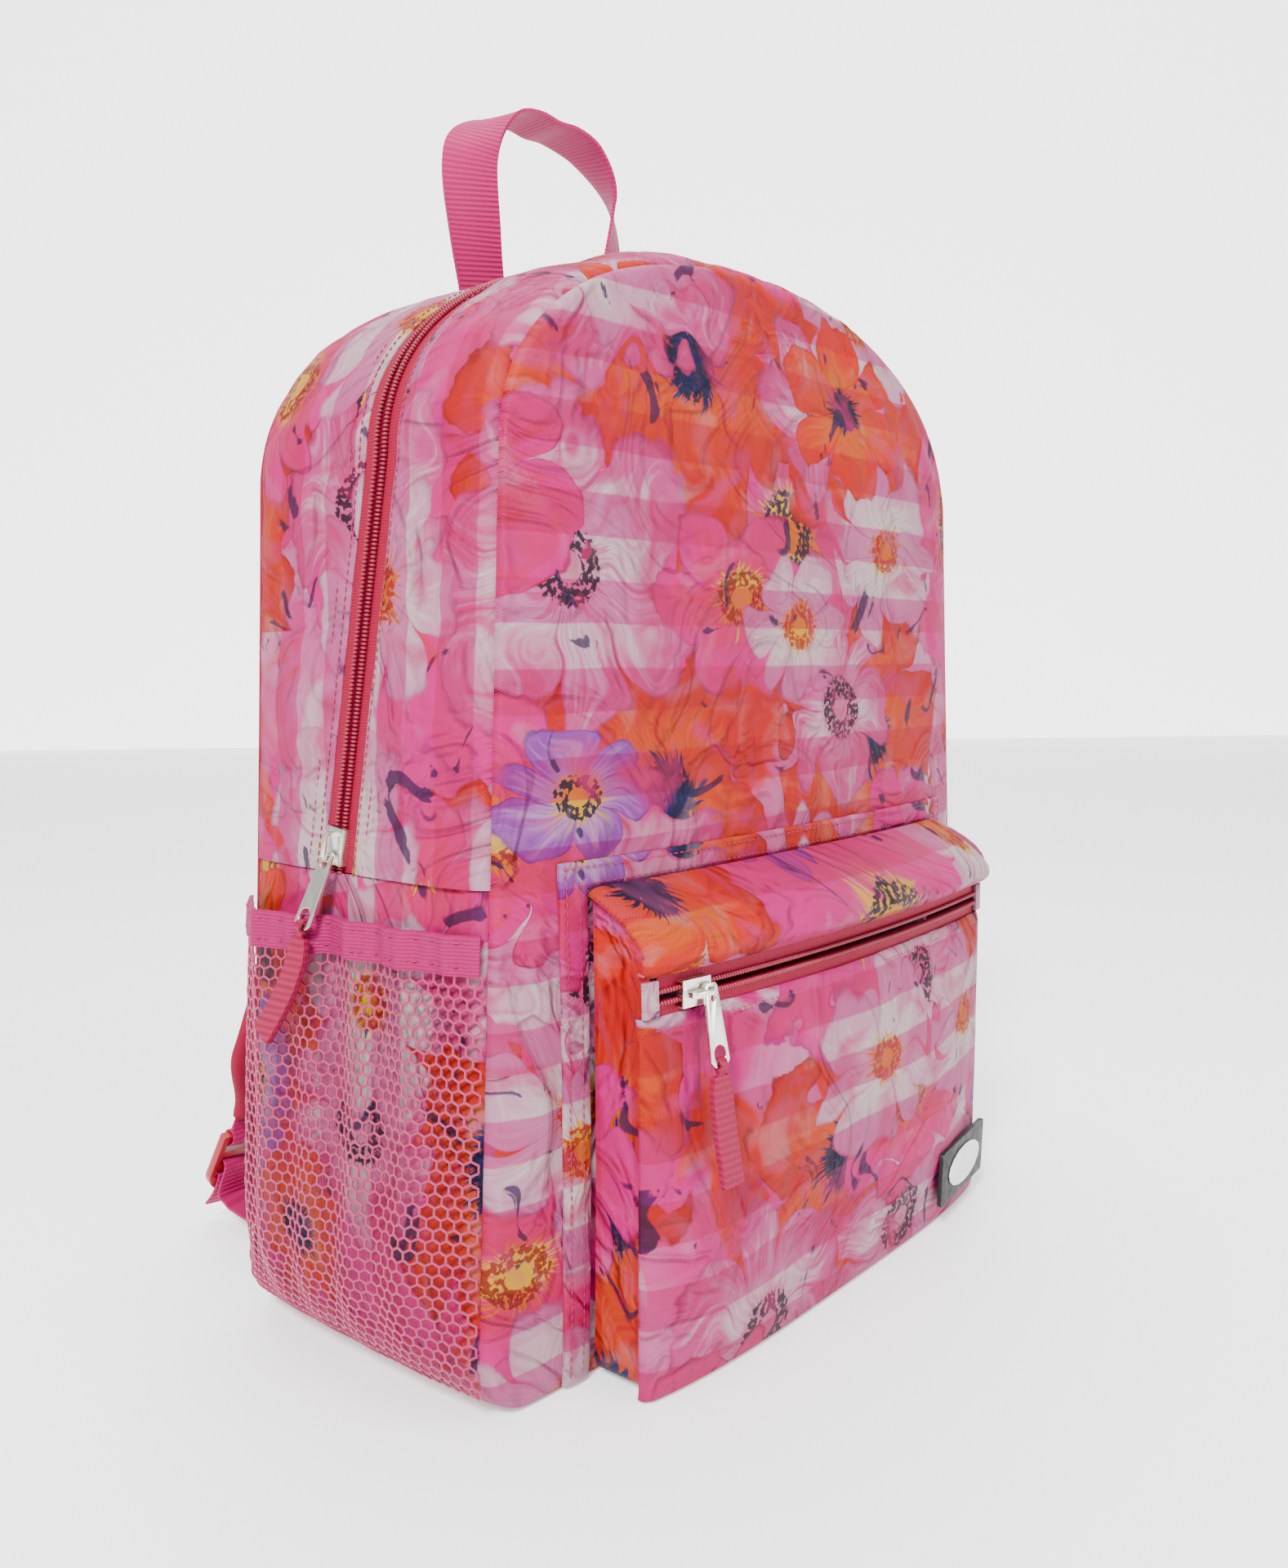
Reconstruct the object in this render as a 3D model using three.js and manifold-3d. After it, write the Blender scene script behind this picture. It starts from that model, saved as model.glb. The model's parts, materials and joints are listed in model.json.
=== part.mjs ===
// A school backpack: an arched main compartment that unzips over the top, a zipped front pocket,
// two mesh side pockets, a webbing haul handle and two padded shoulder straps with ladder locks.
// Millimetres, +Z up, the front faces -Y, and the origin is the middle of the base on the floor.
import * as THREE from "three";
import { mergeVertices } from "three/addons/utils/BufferGeometryUtils.js";
import Module from "manifold-3d";

// ---- Driving dimensions ----
const BODY_WIDTH = 352; // across the base
const BODY_HEIGHT = 424; // to the arch's top seam
const BODY_DEPTH = 142; // from the front seam to the rear seam
const WIDTH_TAPER = 25; // how far each side leans in by the top
const SHOULDER_Z = 340; // where the straight sides become the arch
const ARCH_POWER = 2.2; // 2 is an ellipse, more is squarer
const BASE_RADIUS = 22; // lower corners, seen from the front
const SIDE_BULGE = 7; // how far the filled sides stand out
const FRONT_BULGE = 13;
const BACK_BULGE = 5;
const CLOTH = 2; // printed cloth with its backing
const SEAM_GAP = 0.5; // between two cloths that are sewn together
const FOAM = 5; // the back panel's padding
const FOLD_Z = 206; // above this the front swings down when unzipped

const ZIP_OPEN = 14; // the slit between the cloths that shows the zip
const ZIP_TAPE = 15; // one tape's width
const ZIP_TAPE_THICK = 1;
const ZIP_MIDDLE = 2.6; // the slot between the two tapes, where the slider's post runs
const COIL_WIDTH = 2.1;
const COIL_HEIGHT = 2.4;
const ZIP_END_Z = 188; // the main zip's lower ends
const ZIP_Y_LOW = 8; // the main zip's place across the depth, at its lower ends
const ZIP_Y_TOP = -14; // and over the top

const SLIDER_LENGTH = 14;
const SLIDER_WIDTH = 10;
const PLATE = 1.2; // the slider's plates
const CROWN_HEIGHT = 4.6; // the wire that holds the puller, above the top plate
const CROWN_WIRE = 1.6;
const PULLER_LENGTH = 30;
const PULLER_THICK = 1.5;
const PULLER_BAR = 1.4; // the metal above the puller's eye
const PULL_TAPE_LENGTH = 44;
const PULL_TAPE_WIDTH = 10;
const PULL_TAPE_THICK = 2.6;

const POCKET_WIDTH = 258; // the front pocket
const POCKET_TOP_Z = 186; // its top seam on the front panel
const POCKET_ZIP_Z = 148;
const POCKET_BASE_DEPTH = 42;
const POCKET_ZIP_DEPTH = 45; // at the middle of its zip
const POCKET_ZIP_BOW = 8; // how far the zip's ends lie behind its middle
const POCKET_FLOOR_Z = 1;
const FLANGE_WIDTH = 11; // the sewn-down border of the pocket
const FLANGE_THICK = 1.6;
const POCKET_PUFF = 5;
const TOP_PUFF = 8; // the gathered cloth above the pocket's zip

const MESH_TOP_Z = 173; // the side pockets
const MESH_FOOT_Z = 9;
const MESH_THICK = 1;
const MESH_SEAM_STANDOFF = 1.4; // at the netting's sewn edges
const MESH_STANDOFF = 13; // low down
const MOUTH_STANDOFF_FRONT = 3;
const MOUTH_STANDOFF_REAR = 14;
const ELASTIC_WIDTH = 14;
const ELASTIC_THICK = 1.6;

const WEBBING = 25; // haul handle
const WEBBING_THICK = 1.6;
const HANDLE_SPAN = 84; // between its legs
const HANDLE_RISE = 84;
const HANDLE_Y = 60;
const HANDLE_GAP = 1.4; // room for the legs to fold at the seam

const STRAP_WIDTH = 56;
const STRAP_FOAM = 6;
const STRAP_CLOTH = 1.4;
const STRAP_WEBBING = 24;
const STRAP_WEBBING_THICK = 1.3;
const LOCK_WIDTH = 32; // ladder locks
const LOCK_THICK = 4;
const LOCK_BAR = 4;
const LOCK_LENGTH = 31;
const ANCHOR_X = 131; // where the webbing is sewn to the bag

const LABEL_WIDTH = 58;
const LABEL_HEIGHT = 26;
const LABEL_THICK = 2;
const BINDING_WIDTH = 9; // the tape that covers the raw seams inside
const BINDING_THICK = 1.2;

const FRONT_Y = -BODY_DEPTH / 2;
const BACK_Y = BODY_DEPTH / 2;

// ---- Materials ----
const finish = (color, roughness, metalness = 0) =>
  new THREE.MeshStandardMaterial({ color, roughness, metalness });
const PRINT = finish(0xe8508f, 0.75);
const PINK_CLOTH = finish(0xd81b60, 0.8);
const MESH = finish(0xf04c98, 0.7);
const ELASTIC = finish(0xe8579a, 0.8);
const TAPE = finish(0xd6124f, 0.75);
const COIL = finish(0xcf1650, 0.45);
const FOAM_WHITE = finish(0xe9e4dc, 0.9);
const NICKEL = finish(0xb9b3a6, 0.28, 1);
const LOCK_PLASTIC = finish(0xf0384f, 0.35);
const RUBBER = finish(0x1c1b1d, 0.6);
const RUBBER_WHITE = finish(0xf2f2f0, 0.6);

const wasm = await Module();
wasm.setup();

// ---- Shape helpers ----
const V = (x, y, z) => new THREE.Vector3(x, y, z);
const X_AXIS = V(1, 0, 0);
const mix = THREE.MathUtils.lerp;
const ease = (t) => THREE.MathUtils.smoothstep(t, 0, 1);

function facingOut(positions, index) {
  const at = (i) => V(...positions.slice(3 * i, 3 * i + 3));
  let volume = 0;
  for (let i = 0; i < index.length; i += 3)
    volume += at(index[i]).dot(at(index[i + 1]).cross(at(index[i + 2])));
  if (volume < 0) index.reverse();
  return new THREE.BufferGeometry()
    .setAttribute("position", new THREE.Float32BufferAttribute(positions, 3))
    .setIndex(index);
}

// A closed sheet. outside(u, v) is its outer face for u and v from 0 to 1, and inward(u, v) the unit way in.
function sheet(outside, inward, thickness, nu, nv) {
  const positions = [];
  for (const layer of [0, 1])
    for (let i = 0; i <= nu; i++)
      for (let j = 0; j <= nv; j++) {
        const p = outside(i / nu, j / nv);
        p.addScaledVector(inward(i / nu, j / nv), layer * thickness);
        positions.push(p.x, p.y, p.z);
      }
  const at = (layer, i, j) => (layer * (nu + 1) + i) * (nv + 1) + j;
  const index = [];
  const quad = (a, b, c, d) => index.push(a, b, c, a, c, d);
  for (let i = 0; i < nu; i++)
    for (let j = 0; j < nv; j++) {
      quad(at(0, i, j), at(0, i + 1, j), at(0, i + 1, j + 1), at(0, i, j + 1));
      quad(at(1, i, j), at(1, i, j + 1), at(1, i + 1, j + 1), at(1, i + 1, j));
    }
  for (let i = 0; i < nu; i++) {
    quad(at(0, i, 0), at(1, i, 0), at(1, i + 1, 0), at(0, i + 1, 0));
    quad(at(0, i, nv), at(0, i + 1, nv), at(1, i + 1, nv), at(1, i, nv));
  }
  for (let j = 0; j < nv; j++) {
    quad(at(0, 0, j), at(0, 0, j + 1), at(1, 0, j + 1), at(1, 0, j));
    quad(at(0, nu, j), at(1, nu, j), at(1, nu, j + 1), at(0, nu, j + 1));
  }
  return facingOut(positions, index);
}

// A ribbon along a curve. across(u) is the way of its width, and lift moves it along its face's normal.
function ribbon(curve, across, width, thickness, steps, lift = 0) {
  const frame = (u) => {
    const along = curve.getTangent(u);
    const side = across(u);
    side.addScaledVector(along, -side.dot(along)).normalize();
    return { side, normal: side.clone().cross(along) };
  };
  const outside = (u, v) => {
    const { side, normal } = frame(u);
    const wide = typeof width === "function" ? width(u) : width;
    return curve
      .getPoint(u)
      .addScaledVector(side, (v - 0.5) * wide)
      .addScaledVector(normal, lift + thickness / 2);
  };
  return sheet(outside, (u) => frame(u).normal.negate(), thickness, steps, 1);
}

function extrude(shape, depth) {
  const g = new THREE.ExtrudeGeometry(shape, { depth, bevelEnabled: false, curveSegments: 8 });
  return g.translate(0, 0, -depth / 2);
}

function polygon(points) {
  return new THREE.Shape(points.map(([x, y]) => new THREE.Vector2(x, y)));
}

function solid(geometry) {
  const bare = new THREE.BufferGeometry().setAttribute("position", geometry.getAttribute("position"));
  if (geometry.index) bare.setIndex(geometry.index);
  const merged = mergeVertices(bare, 1e-3);
  const vertProperties = merged.attributes.position.array;
  const triVerts = new Uint32Array(merged.index.array);
  return new wasm.Manifold(new wasm.Mesh({ numProp: 3, vertProperties, triVerts }));
}

function joined(...geometries) {
  const mesh = geometries.map(solid).reduce((a, b) => a.add(b)).getMesh();
  return new THREE.BufferGeometry()
    .setAttribute("position", new THREE.BufferAttribute(mesh.vertProperties, 3))
    .setIndex(new THREE.BufferAttribute(mesh.triVerts, 1));
}

const bag = new THREE.Group();

function add(name, geometry, material, parent = bag) {
  const mesh = new THREE.Mesh(geometry, material);
  mesh.name = name;
  parent.add(mesh);
  return mesh;
}

// ---- The body's surfaces ----
const sideLine = (z) => BODY_WIDTH / 2 - (WIDTH_TAPER * z) / BODY_HEIGHT;
const archShare = (z) => Math.max(0, z - SHOULDER_Z) / (BODY_HEIGHT - SHOULDER_Z);
function bodyHalf(z) {
  const below = Math.max(0, BASE_RADIUS - z);
  const foot = BASE_RADIUS - Math.sqrt(BASE_RADIUS ** 2 - below ** 2);
  return sideLine(z) * (1 - Math.min(1, archShare(z)) ** ARCH_POWER) ** (1 / ARCH_POWER) - foot;
}
const sideBulge = (y) => SIDE_BULGE * (1 - (y / BACK_Y) ** 4);

// The rim runs from the zip's lower left end, s = -1, over the top to the right end, s = 1.
const ARCH_S = 0.68; // the arch's share of the rim
const rimAtZ = (z) => mix(ARCH_S, 1, (SHOULDER_Z - z) / (SHOULDER_Z - ZIP_END_Z));

function rim(s) {
  const t = Math.abs(s);
  if (t >= ARCH_S) {
    const z = mix(SHOULDER_Z, ZIP_END_Z, (t - ARCH_S) / (1 - ARCH_S));
    return V(Math.sign(s) * sideLine(z), 0, z);
  }
  const turn = ((1 - t / ARCH_S) * Math.PI) / 2;
  const z = mix(SHOULDER_Z, BODY_HEIGHT, Math.sin(turn) ** (2 / ARCH_POWER));
  return V(Math.sign(s) * sideLine(z) * Math.cos(turn) ** (2 / ARCH_POWER), 0, z);
}

function rimNormal(s) {
  const step = 0.004;
  const along = rim(s + step).sub(rim(s - step)).normalize();
  return V(-along.z, 0, along.x);
}

// A point of the arched gusset at depth y, sunk below its outer face.
function gusset(s, y, sunk = 0) {
  const p = rim(s).addScaledVector(rimNormal(s), sideBulge(y) - sunk);
  p.y = y;
  return p;
}

const zipY = (s) =>
  Math.abs(s) < ARCH_S
    ? ZIP_Y_TOP
    : mix(ZIP_Y_TOP, ZIP_Y_LOW, (Math.abs(s) - ARCH_S) / (1 - ARCH_S));

// The lower sides, below the zip, bulge less towards their rounded foot.
const flankBulge = (y, z) => sideBulge(y) * ease((z - 4) / 60);

const frontY = (x, z) => {
  const across = 1 - Math.min(1, Math.abs(x) / bodyHalf(z)) ** 3;
  const up = Math.sin(Math.PI * (0.12 + 0.88 * Math.min(1, z / BODY_HEIGHT))) ** 0.7;
  return FRONT_Y - FRONT_BULGE * across * up;
};
const BACK_RISE = BODY_HEIGHT + 16; // the back's swelling ends just above the arch
function backY(x, z) {
  return BACK_Y + BACK_BULGE * (1 - (x / bodyHalf(z)) ** 2) * Math.sin((Math.PI * z) / BACK_RISE);
}

// ---- Main compartment ----
// Upright panels share these heights, so that their facets run side by side.
const LOW_LEVELS = [3, 7, 13, BASE_RADIUS, 55, 95, 135, 165, 250, 300];
const ARCH_SHARES = [0, 22, 42, 58, 71, 79].map((rise) => rise / 84); // closer together near the top
const LEVELS = [...LOW_LEVELS, ...ARCH_SHARES.map((share) => mix(SHOULDER_Z, BODY_HEIGHT, share))];

function levels(zLow, zHigh) {
  const list = [zLow, ...LEVELS.filter((z) => z > zLow + 2 && z < zHigh - 1), zHigh];
  const at = (v) => list[Math.round(v * (list.length - 1))];
  return { at, count: list.length - 1 };
}

// A panel with the body's outline between two heights, its outer face at y = face(x, z).
function archPanel(face, zLow, zHigh, thickness, inset, nu) {
  const way = face(0, zLow) < 0 ? 1 : -1;
  const rows = levels(zLow, zHigh);
  const outside = (u, v) => {
    const z = rows.at(v);
    const x = (2 * u - 1) * (bodyHalf(z) - inset);
    return V(x, face(x, z), z);
  };
  return sheet(outside, () => V(0, way, 0), thickness, nu, rows.count);
}

function makeFrontAndBack() {
  const top = BODY_HEIGHT - 1.5;
  add("front_panel_lower", archPanel(frontY, 0.5, FOLD_Z - SEAM_GAP, CLOTH, 0, 16), PRINT);
  add("front_panel_upper", archPanel(frontY, FOLD_Z + SEAM_GAP, top, CLOTH, 0, 16), PRINT);
  add("back_panel", archPanel(backY, 0.5, top, CLOTH, 0, 12), PINK_CLOTH);
  const foamFace = (x, z) => backY(x, z) - CLOTH - SEAM_GAP;
  const inset = CLOTH + SEAM_GAP + 1;
  add("back_foam", archPanel(foamFace, 13, top - 9, FOAM, inset + 5, 12), FOAM_WHITE);
  const liningFace = (x, z) => foamFace(x, z) - FOAM - SEAM_GAP;
  add("back_lining", archPanel(liningFace, 7, top - 7, 1, inset + 1, 12), PINK_CLOTH);
}

// The gusset between two depths, yFrom(s) and yTo(s), over the rim from -sEnd to sEnd.
function band(yFrom, yTo, sEnd, thickness, sunk, nu, nv) {
  const outside = (u, v) => {
    const s = mix(-sEnd, sEnd, u);
    return gusset(s, mix(yFrom(s), yTo(s), v), sunk);
  };
  return sheet(outside, (u) => rimNormal(mix(-sEnd, sEnd, u)).negate(), thickness, nu, nv);
}

const GUSSET_EDGE = BODY_DEPTH / 2 - CLOTH - SEAM_GAP; // the gusset tucks in behind both panels
const FLAP_END = rimAtZ(FOLD_Z + SEAM_GAP);
const RIM_STEPS = 32;

function makeBands() {
  const front = () => -GUSSET_EDGE;
  const rear = () => GUSSET_EDGE;
  const slitFront = (s) => zipY(s) - ZIP_OPEN / 2;
  const slitRear = (s) => zipY(s) + ZIP_OPEN / 2;
  add("front_band", band(front, slitFront, FLAP_END, CLOTH, 0, RIM_STEPS, 2), PRINT);
  add("rear_band", band(slitRear, rear, 1, CLOTH, 0, RIM_STEPS, 3), PRINT);

  const under = CLOTH + SEAM_GAP;
  const edge = ZIP_MIDDLE / 2;
  const tape = (way, sEnd) =>
    band((s) => zipY(s) + way * edge, (s) => zipY(s) + way * ZIP_TAPE, sEnd, ZIP_TAPE_THICK, under, RIM_STEPS, 1);
  const coil = (way, sEnd) =>
    band(
      (s) => zipY(s) + way * edge,
      (s) => zipY(s) + way * (edge + COIL_WIDTH),
      sEnd,
      COIL_HEIGHT - 0.3,
      under - COIL_HEIGHT,
      RIM_STEPS,
      1,
    );
  add("main_zip_tape_front", tape(-1, FLAP_END), TAPE);
  add("main_zip_tape_rear", tape(1, 1), TAPE);
  add("main_zip_coil_front", coil(-1, FLAP_END), COIL);
  add("main_zip_coil_rear", coil(1, 1), COIL);

  const bound = under + SEAM_GAP + 0.5;
  const binding = (way, sEnd) =>
    band(
      () => way * (GUSSET_EDGE - 3 - BINDING_WIDTH),
      () => way * (GUSSET_EDGE - 3),
      sEnd,
      BINDING_THICK,
      bound,
      RIM_STEPS,
      1,
    );
  add("front_seam_binding", binding(-1, FLAP_END), PINK_CLOTH);
  add("rear_seam_binding", binding(1, 1).translate(0, -FOAM - 4, 0), PINK_CLOTH);
}

// The side panels, from the base's corner to the zip's end, and higher in front of the zip.
function makeSides() {
  const slit = zipY(FLAP_END) - ZIP_OPEN / 2;
  const depths = [-GUSSET_EDGE, -52, -30, slit, slit + 0.8, 18, 40, 56, GUSSET_EDGE];
  const ahead = levels(0.3, FOLD_Z - SEAM_GAP);
  const behind = levels(0.3, ZIP_END_Z - SEAM_GAP);
  for (const [name, way] of [["left", -1], ["right", 1]]) {
    const outside = (u, v) => {
      const y = depths[Math.round(u * (depths.length - 1))];
      const z = (y <= slit ? ahead : behind).at(v);
      return V(way * (bodyHalf(z) + flankBulge(y, z)), y, z);
    };
    const inward = (u, v) => V(-way, 0, 1.6 * Math.max(0, 1 - behind.at(v) / BASE_RADIUS)).normalize();
    add(`side_panel_${name}`, sheet(outside, inward, CLOTH, depths.length - 1, behind.count), PRINT);

    const foot = (u, v) => {
      const s = way * mix(rimAtZ(FOLD_Z - 1), 1, v);
      return gusset(s, zipY(s) - mix(ZIP_TAPE, ZIP_MIDDLE / 2, u), CLOTH + SEAM_GAP);
    };
    const footIn = () => V(-way, 0, 0);
    add(`main_zip_foot_${name}`, sheet(foot, footIn, ZIP_TAPE_THICK, 1, 2), TAPE);
  }
  const half = bodyHalf(0.3) - SEAM_GAP - CLOTH;
  const floor = new THREE.BoxGeometry(2 * half, 2 * GUSSET_EDGE, CLOTH);
  add("bottom_panel", floor.translate(0, 0, CLOTH / 2), PRINT);
}

// ---- Mesh side pockets ----
// How far the netting stands off the side panel. Its mouth hugs the bag in front and sags behind.
function standoff(u, z) {
  const mouth = mix(MOUTH_STANDOFF_FRONT, MOUTH_STANDOFF_REAR, ease((u - 0.5) / 0.3));
  const belly = mix(MESH_STANDOFF, mouth, ease(z / MESH_TOP_Z));
  return MESH_SEAM_STANDOFF + belly * (1 - Math.abs(2 * u - 1) ** 3) * ease((z + 4) / 50);
}

function makeMeshPockets() {
  const elasticLow = MESH_TOP_Z - ELASTIC_WIDTH;
  for (const [name, way] of [["left", -1], ["right", 1]]) {
    const wall = (rows, out) => (u, v) => {
      const z = rows.at(v);
      const y = mix(-GUSSET_EDGE, GUSSET_EDGE, u);
      return V(way * (bodyHalf(z) + flankBulge(y, z) + standoff(u, z) + out), y, z);
    };
    const inward = () => V(-way, 0, 0);
    const low = levels(MESH_FOOT_Z, elasticLow - SEAM_GAP);
    const mesh = sheet(wall(low, MESH_THICK), inward, MESH_THICK, 12, low.count);
    add(`mesh_pocket_${name}`, mesh, MESH);
    const high = levels(elasticLow, MESH_TOP_Z);
    const elastic = sheet(wall(high, ELASTIC_THICK), inward, ELASTIC_THICK, 12, high.count);
    add(`pocket_elastic_${name}`, elastic, ELASTIC);
  }
}

// ---- Front pocket ----
const POCKET_HALF = POCKET_WIDTH / 2;
const ZIP_HALF = POCKET_HALF - 7;
const ZIP_ARC = (ZIP_HALF ** 2 + POCKET_ZIP_BOW ** 2) / (2 * POCKET_ZIP_BOW); // the zip's bend in plan
const ZIP_CENTRE_Y = FRONT_Y - POCKET_ZIP_DEPTH + ZIP_ARC;
const pocketZipY = (x) => ZIP_CENTRE_Y - Math.sqrt(ZIP_ARC ** 2 - x * x);
const pocketBaseY = (x) => FRONT_Y - POCKET_BASE_DEPTH + 8 * (x / POCKET_HALF) ** 4;

const faceTop = POCKET_ZIP_Z - ZIP_OPEN / 2;
function pocketY(x, z) {
  const puff = POCKET_PUFF * (1 - (x / POCKET_HALF) ** 2) * Math.sin((Math.PI * z) / faceTop);
  return mix(pocketBaseY(x), pocketZipY(x), ease(z / faceTop)) - puff;
}

function makePocket() {
  const back = V(0, 1, 0);
  const across = (u) => mix(-POCKET_HALF, POCKET_HALF, u);
  const face = (u, v) => {
    const z = mix(POCKET_FLOOR_Z, faceTop, v);
    return V(across(u), pocketY(across(u), z), z);
  };
  add("front_pocket_face", sheet(face, () => back, CLOTH, 18, 7), PRINT);

  // The gathered cloth from the zip up to the top seam.
  const low = POCKET_ZIP_Z + ZIP_OPEN / 2;
  const gathered = (u, v) => {
    const x = across(u);
    const z = mix(low, POCKET_TOP_Z, v);
    const seam = frontY(x, POCKET_TOP_Z) - FLANGE_THICK - CLOTH - 1;
    const puff = TOP_PUFF * Math.sin(Math.PI * v) * (1 - 0.6 * (x / POCKET_HALF) ** 2);
    return V(x, mix(pocketZipY(x), seam, v ** 2.2) - puff, z);
  };
  add("front_pocket_top", sheet(gathered, () => back, CLOTH, 18, 6), PRINT);

  // One strip makes both sides and the floor.
  const corner = 10;
  const half = POCKET_HALF - SEAM_GAP - CLOTH;
  const run = new THREE.Path();
  run.moveTo(-half, faceTop);
  run.lineTo(-half, POCKET_FLOOR_Z + corner);
  run.absarc(-half + corner, POCKET_FLOOR_Z + corner, corner, Math.PI, 1.5 * Math.PI);
  run.lineTo(half - corner, POCKET_FLOOR_Z);
  run.absarc(half - corner, POCKET_FLOOR_Z + corner, corner, -Math.PI / 2, 0);
  run.lineTo(half, faceTop);
  const strip = (u, v) => {
    const p = run.getPointAt(u);
    const wall = frontY(p.x, p.y) - FLANGE_THICK - 1;
    return V(p.x, mix(wall, pocketY(p.x, p.y) + CLOTH + SEAM_GAP, v), p.y);
  };
  const stripIn = (u) => {
    const t = run.getTangentAt(u);
    return V(-t.y, 0, t.x);
  };
  add("front_pocket_gusset", sheet(strip, stripIn, CLOTH, 36, 1), PRINT);

  // The border that is sewn down round the pocket, up one side, across and down the other.
  const reach = POCKET_HALF + FLANGE_WIDTH;
  const rise = POCKET_TOP_Z + FLANGE_WIDTH - 2;
  const flange = (u, v) => {
    const wide = mix(reach, POCKET_HALF, v);
    const high = mix(rise, POCKET_TOP_Z, v);
    const leg = 0.3;
    const side = u < 0.5 ? -1 : 1;
    const t = Math.min(u, 1 - u) / leg;
    const p = t < 1 ? [side * wide, mix(2, high, t)] : [mix(-wide, wide, (u - leg) / (1 - 2 * leg)), high];
    return V(p[0], frontY(p[0], p[1]) - FLANGE_THICK - SEAM_GAP, p[1]);
  };
  add("front_pocket_flange", sheet(flange, () => back, FLANGE_THICK, 40, 1), PRINT);

  // The zip bends round ZIP_ARC, so that its slider turns about the arc's upright axis.
  const swing = Math.asin(ZIP_HALF / ZIP_ARC);
  const onArc = (u, z, sunk) => {
    const a = mix(-swing, swing, u);
    const r = ZIP_ARC - sunk;
    return V(r * Math.sin(a), ZIP_CENTRE_Y - r * Math.cos(a), z);
  };
  const arcIn = (u) => V(-Math.sin(mix(-swing, swing, u)), Math.cos(mix(-swing, swing, u)), 0);
  const strips = (way, from, to, sunk, thickness) => {
    const outside = (u, v) => onArc(u, POCKET_ZIP_Z + way * mix(from, to, v), sunk);
    return sheet(outside, arcIn, thickness, 24, 1);
  };
  const edge = ZIP_MIDDLE / 2;
  const under = CLOTH + SEAM_GAP;
  for (const [name, way] of [["lower", -1], ["upper", 1]]) {
    add(`front_pocket_tape_${name}`, strips(way, edge, ZIP_TAPE, under, ZIP_TAPE_THICK), TAPE);
    const coil = strips(way, edge, edge + COIL_WIDTH, under - COIL_HEIGHT, COIL_HEIGHT - 0.3);
    add(`front_pocket_coil_${name}`, coil, COIL);
  }
  for (const [name, way] of [["left", -1], ["right", 1]]) {
    const tab = (u, v) => {
      const x = way * mix(ZIP_HALF + SEAM_GAP, POCKET_HALF, u);
      const z = mix(faceTop + SEAM_GAP, low - SEAM_GAP, v);
      return V(x, pocketZipY(x), z);
    };
    add(`front_pocket_tab_${name}`, sheet(tab, () => back, CLOTH, 2, 2), PRINT);
  }
}

function makeLabel() {
  const place = V(96, 0, 24);
  const tilt = new THREE.Group();
  place.y = pocketY(place.x, place.z);
  const slopeX = (pocketY(place.x + 20, place.z) - pocketY(place.x - 20, place.z)) / 40;
  const slopeZ = (pocketY(place.x, place.z + 8) - pocketY(place.x, place.z - 8)) / 16;
  const facing = V(slopeX, -1, slopeZ).normalize();
  tilt.position.copy(place).addScaledVector(facing, SEAM_GAP + LABEL_THICK);
  tilt.quaternion.setFromUnitVectors(V(0, -1, 0), facing);
  bag.add(tilt);
  const outline = new THREE.Shape();
  const w = LABEL_WIDTH / 2;
  const h = LABEL_HEIGHT / 2;
  const r = 2;
  outline.absarc(w - r, h - r, r, 0, Math.PI / 2);
  outline.absarc(-w + r, h - r, r, Math.PI / 2, Math.PI);
  outline.absarc(-w + r, -h + r, r, Math.PI, 1.5 * Math.PI);
  outline.absarc(w - r, -h + r, r, 1.5 * Math.PI, 2 * Math.PI);
  const patch = extrude(outline, LABEL_THICK).rotateX(Math.PI / 2);
  add("label_patch", patch, RUBBER, tilt);
  const emblem = extrude(new THREE.Shape().absellipse(0, 0, w - 8, h - 4, 0, 2 * Math.PI), 0.8);
  emblem.rotateX(Math.PI / 2).translate(0, -LABEL_THICK / 2 - 0.7, 0);
  add("label_emblem", emblem, RUBBER_WHITE, tilt);
}

// ---- Zip hardware, in a frame with X across the zip, Y along it and Z out of the cloth ----
const PLATE_Z = COIL_HEIGHT + 1; // the underside of the slider's top plate above the tape
const PLATE_TOP = PLATE_Z + PLATE;

function sliderGeometry() {
  const w = SLIDER_WIDTH / 2;
  const lip = w - 0.8;
  const post = ZIP_MIDDLE / 2 - 0.3;
  const below = -ZIP_TAPE_THICK - 0.4;
  const right = [
    [w, PLATE_TOP],
    [w, 0.4],
    [lip, 0.4],
    [lip, PLATE_Z],
    [post, PLATE_Z],
    [post, below],
    [w - 0.4, below],
    [w - 0.4, below - PLATE],
  ];
  const left = right.map(([x, z]) => [-x, z]).reverse();
  const plates = extrude(polygon([...right, ...left]), SLIDER_LENGTH).rotateX(Math.PI / 2);
  const reach = 5.5;
  const inner = reach - CROWN_WIRE;
  const high = PLATE_TOP + CROWN_HEIGHT;
  const crown = polygon([
    [-reach, PLATE_TOP - 0.2],
    [-reach, high - 1.4],
    [-reach + 1.4, high],
    [reach - 1.4, high],
    [reach, high - 1.4],
    [reach, PLATE_TOP - 0.2],
    [inner, PLATE_TOP - 0.2],
    [inner, high - CROWN_WIRE],
    [-inner, high - CROWN_WIRE],
    [-inner, PLATE_TOP - 0.2],
  ]);
  const wire = extrude(crown, 2).rotateX(Math.PI / 2).rotateZ(Math.PI / 2);
  return joined(plates, wire);
}

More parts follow.
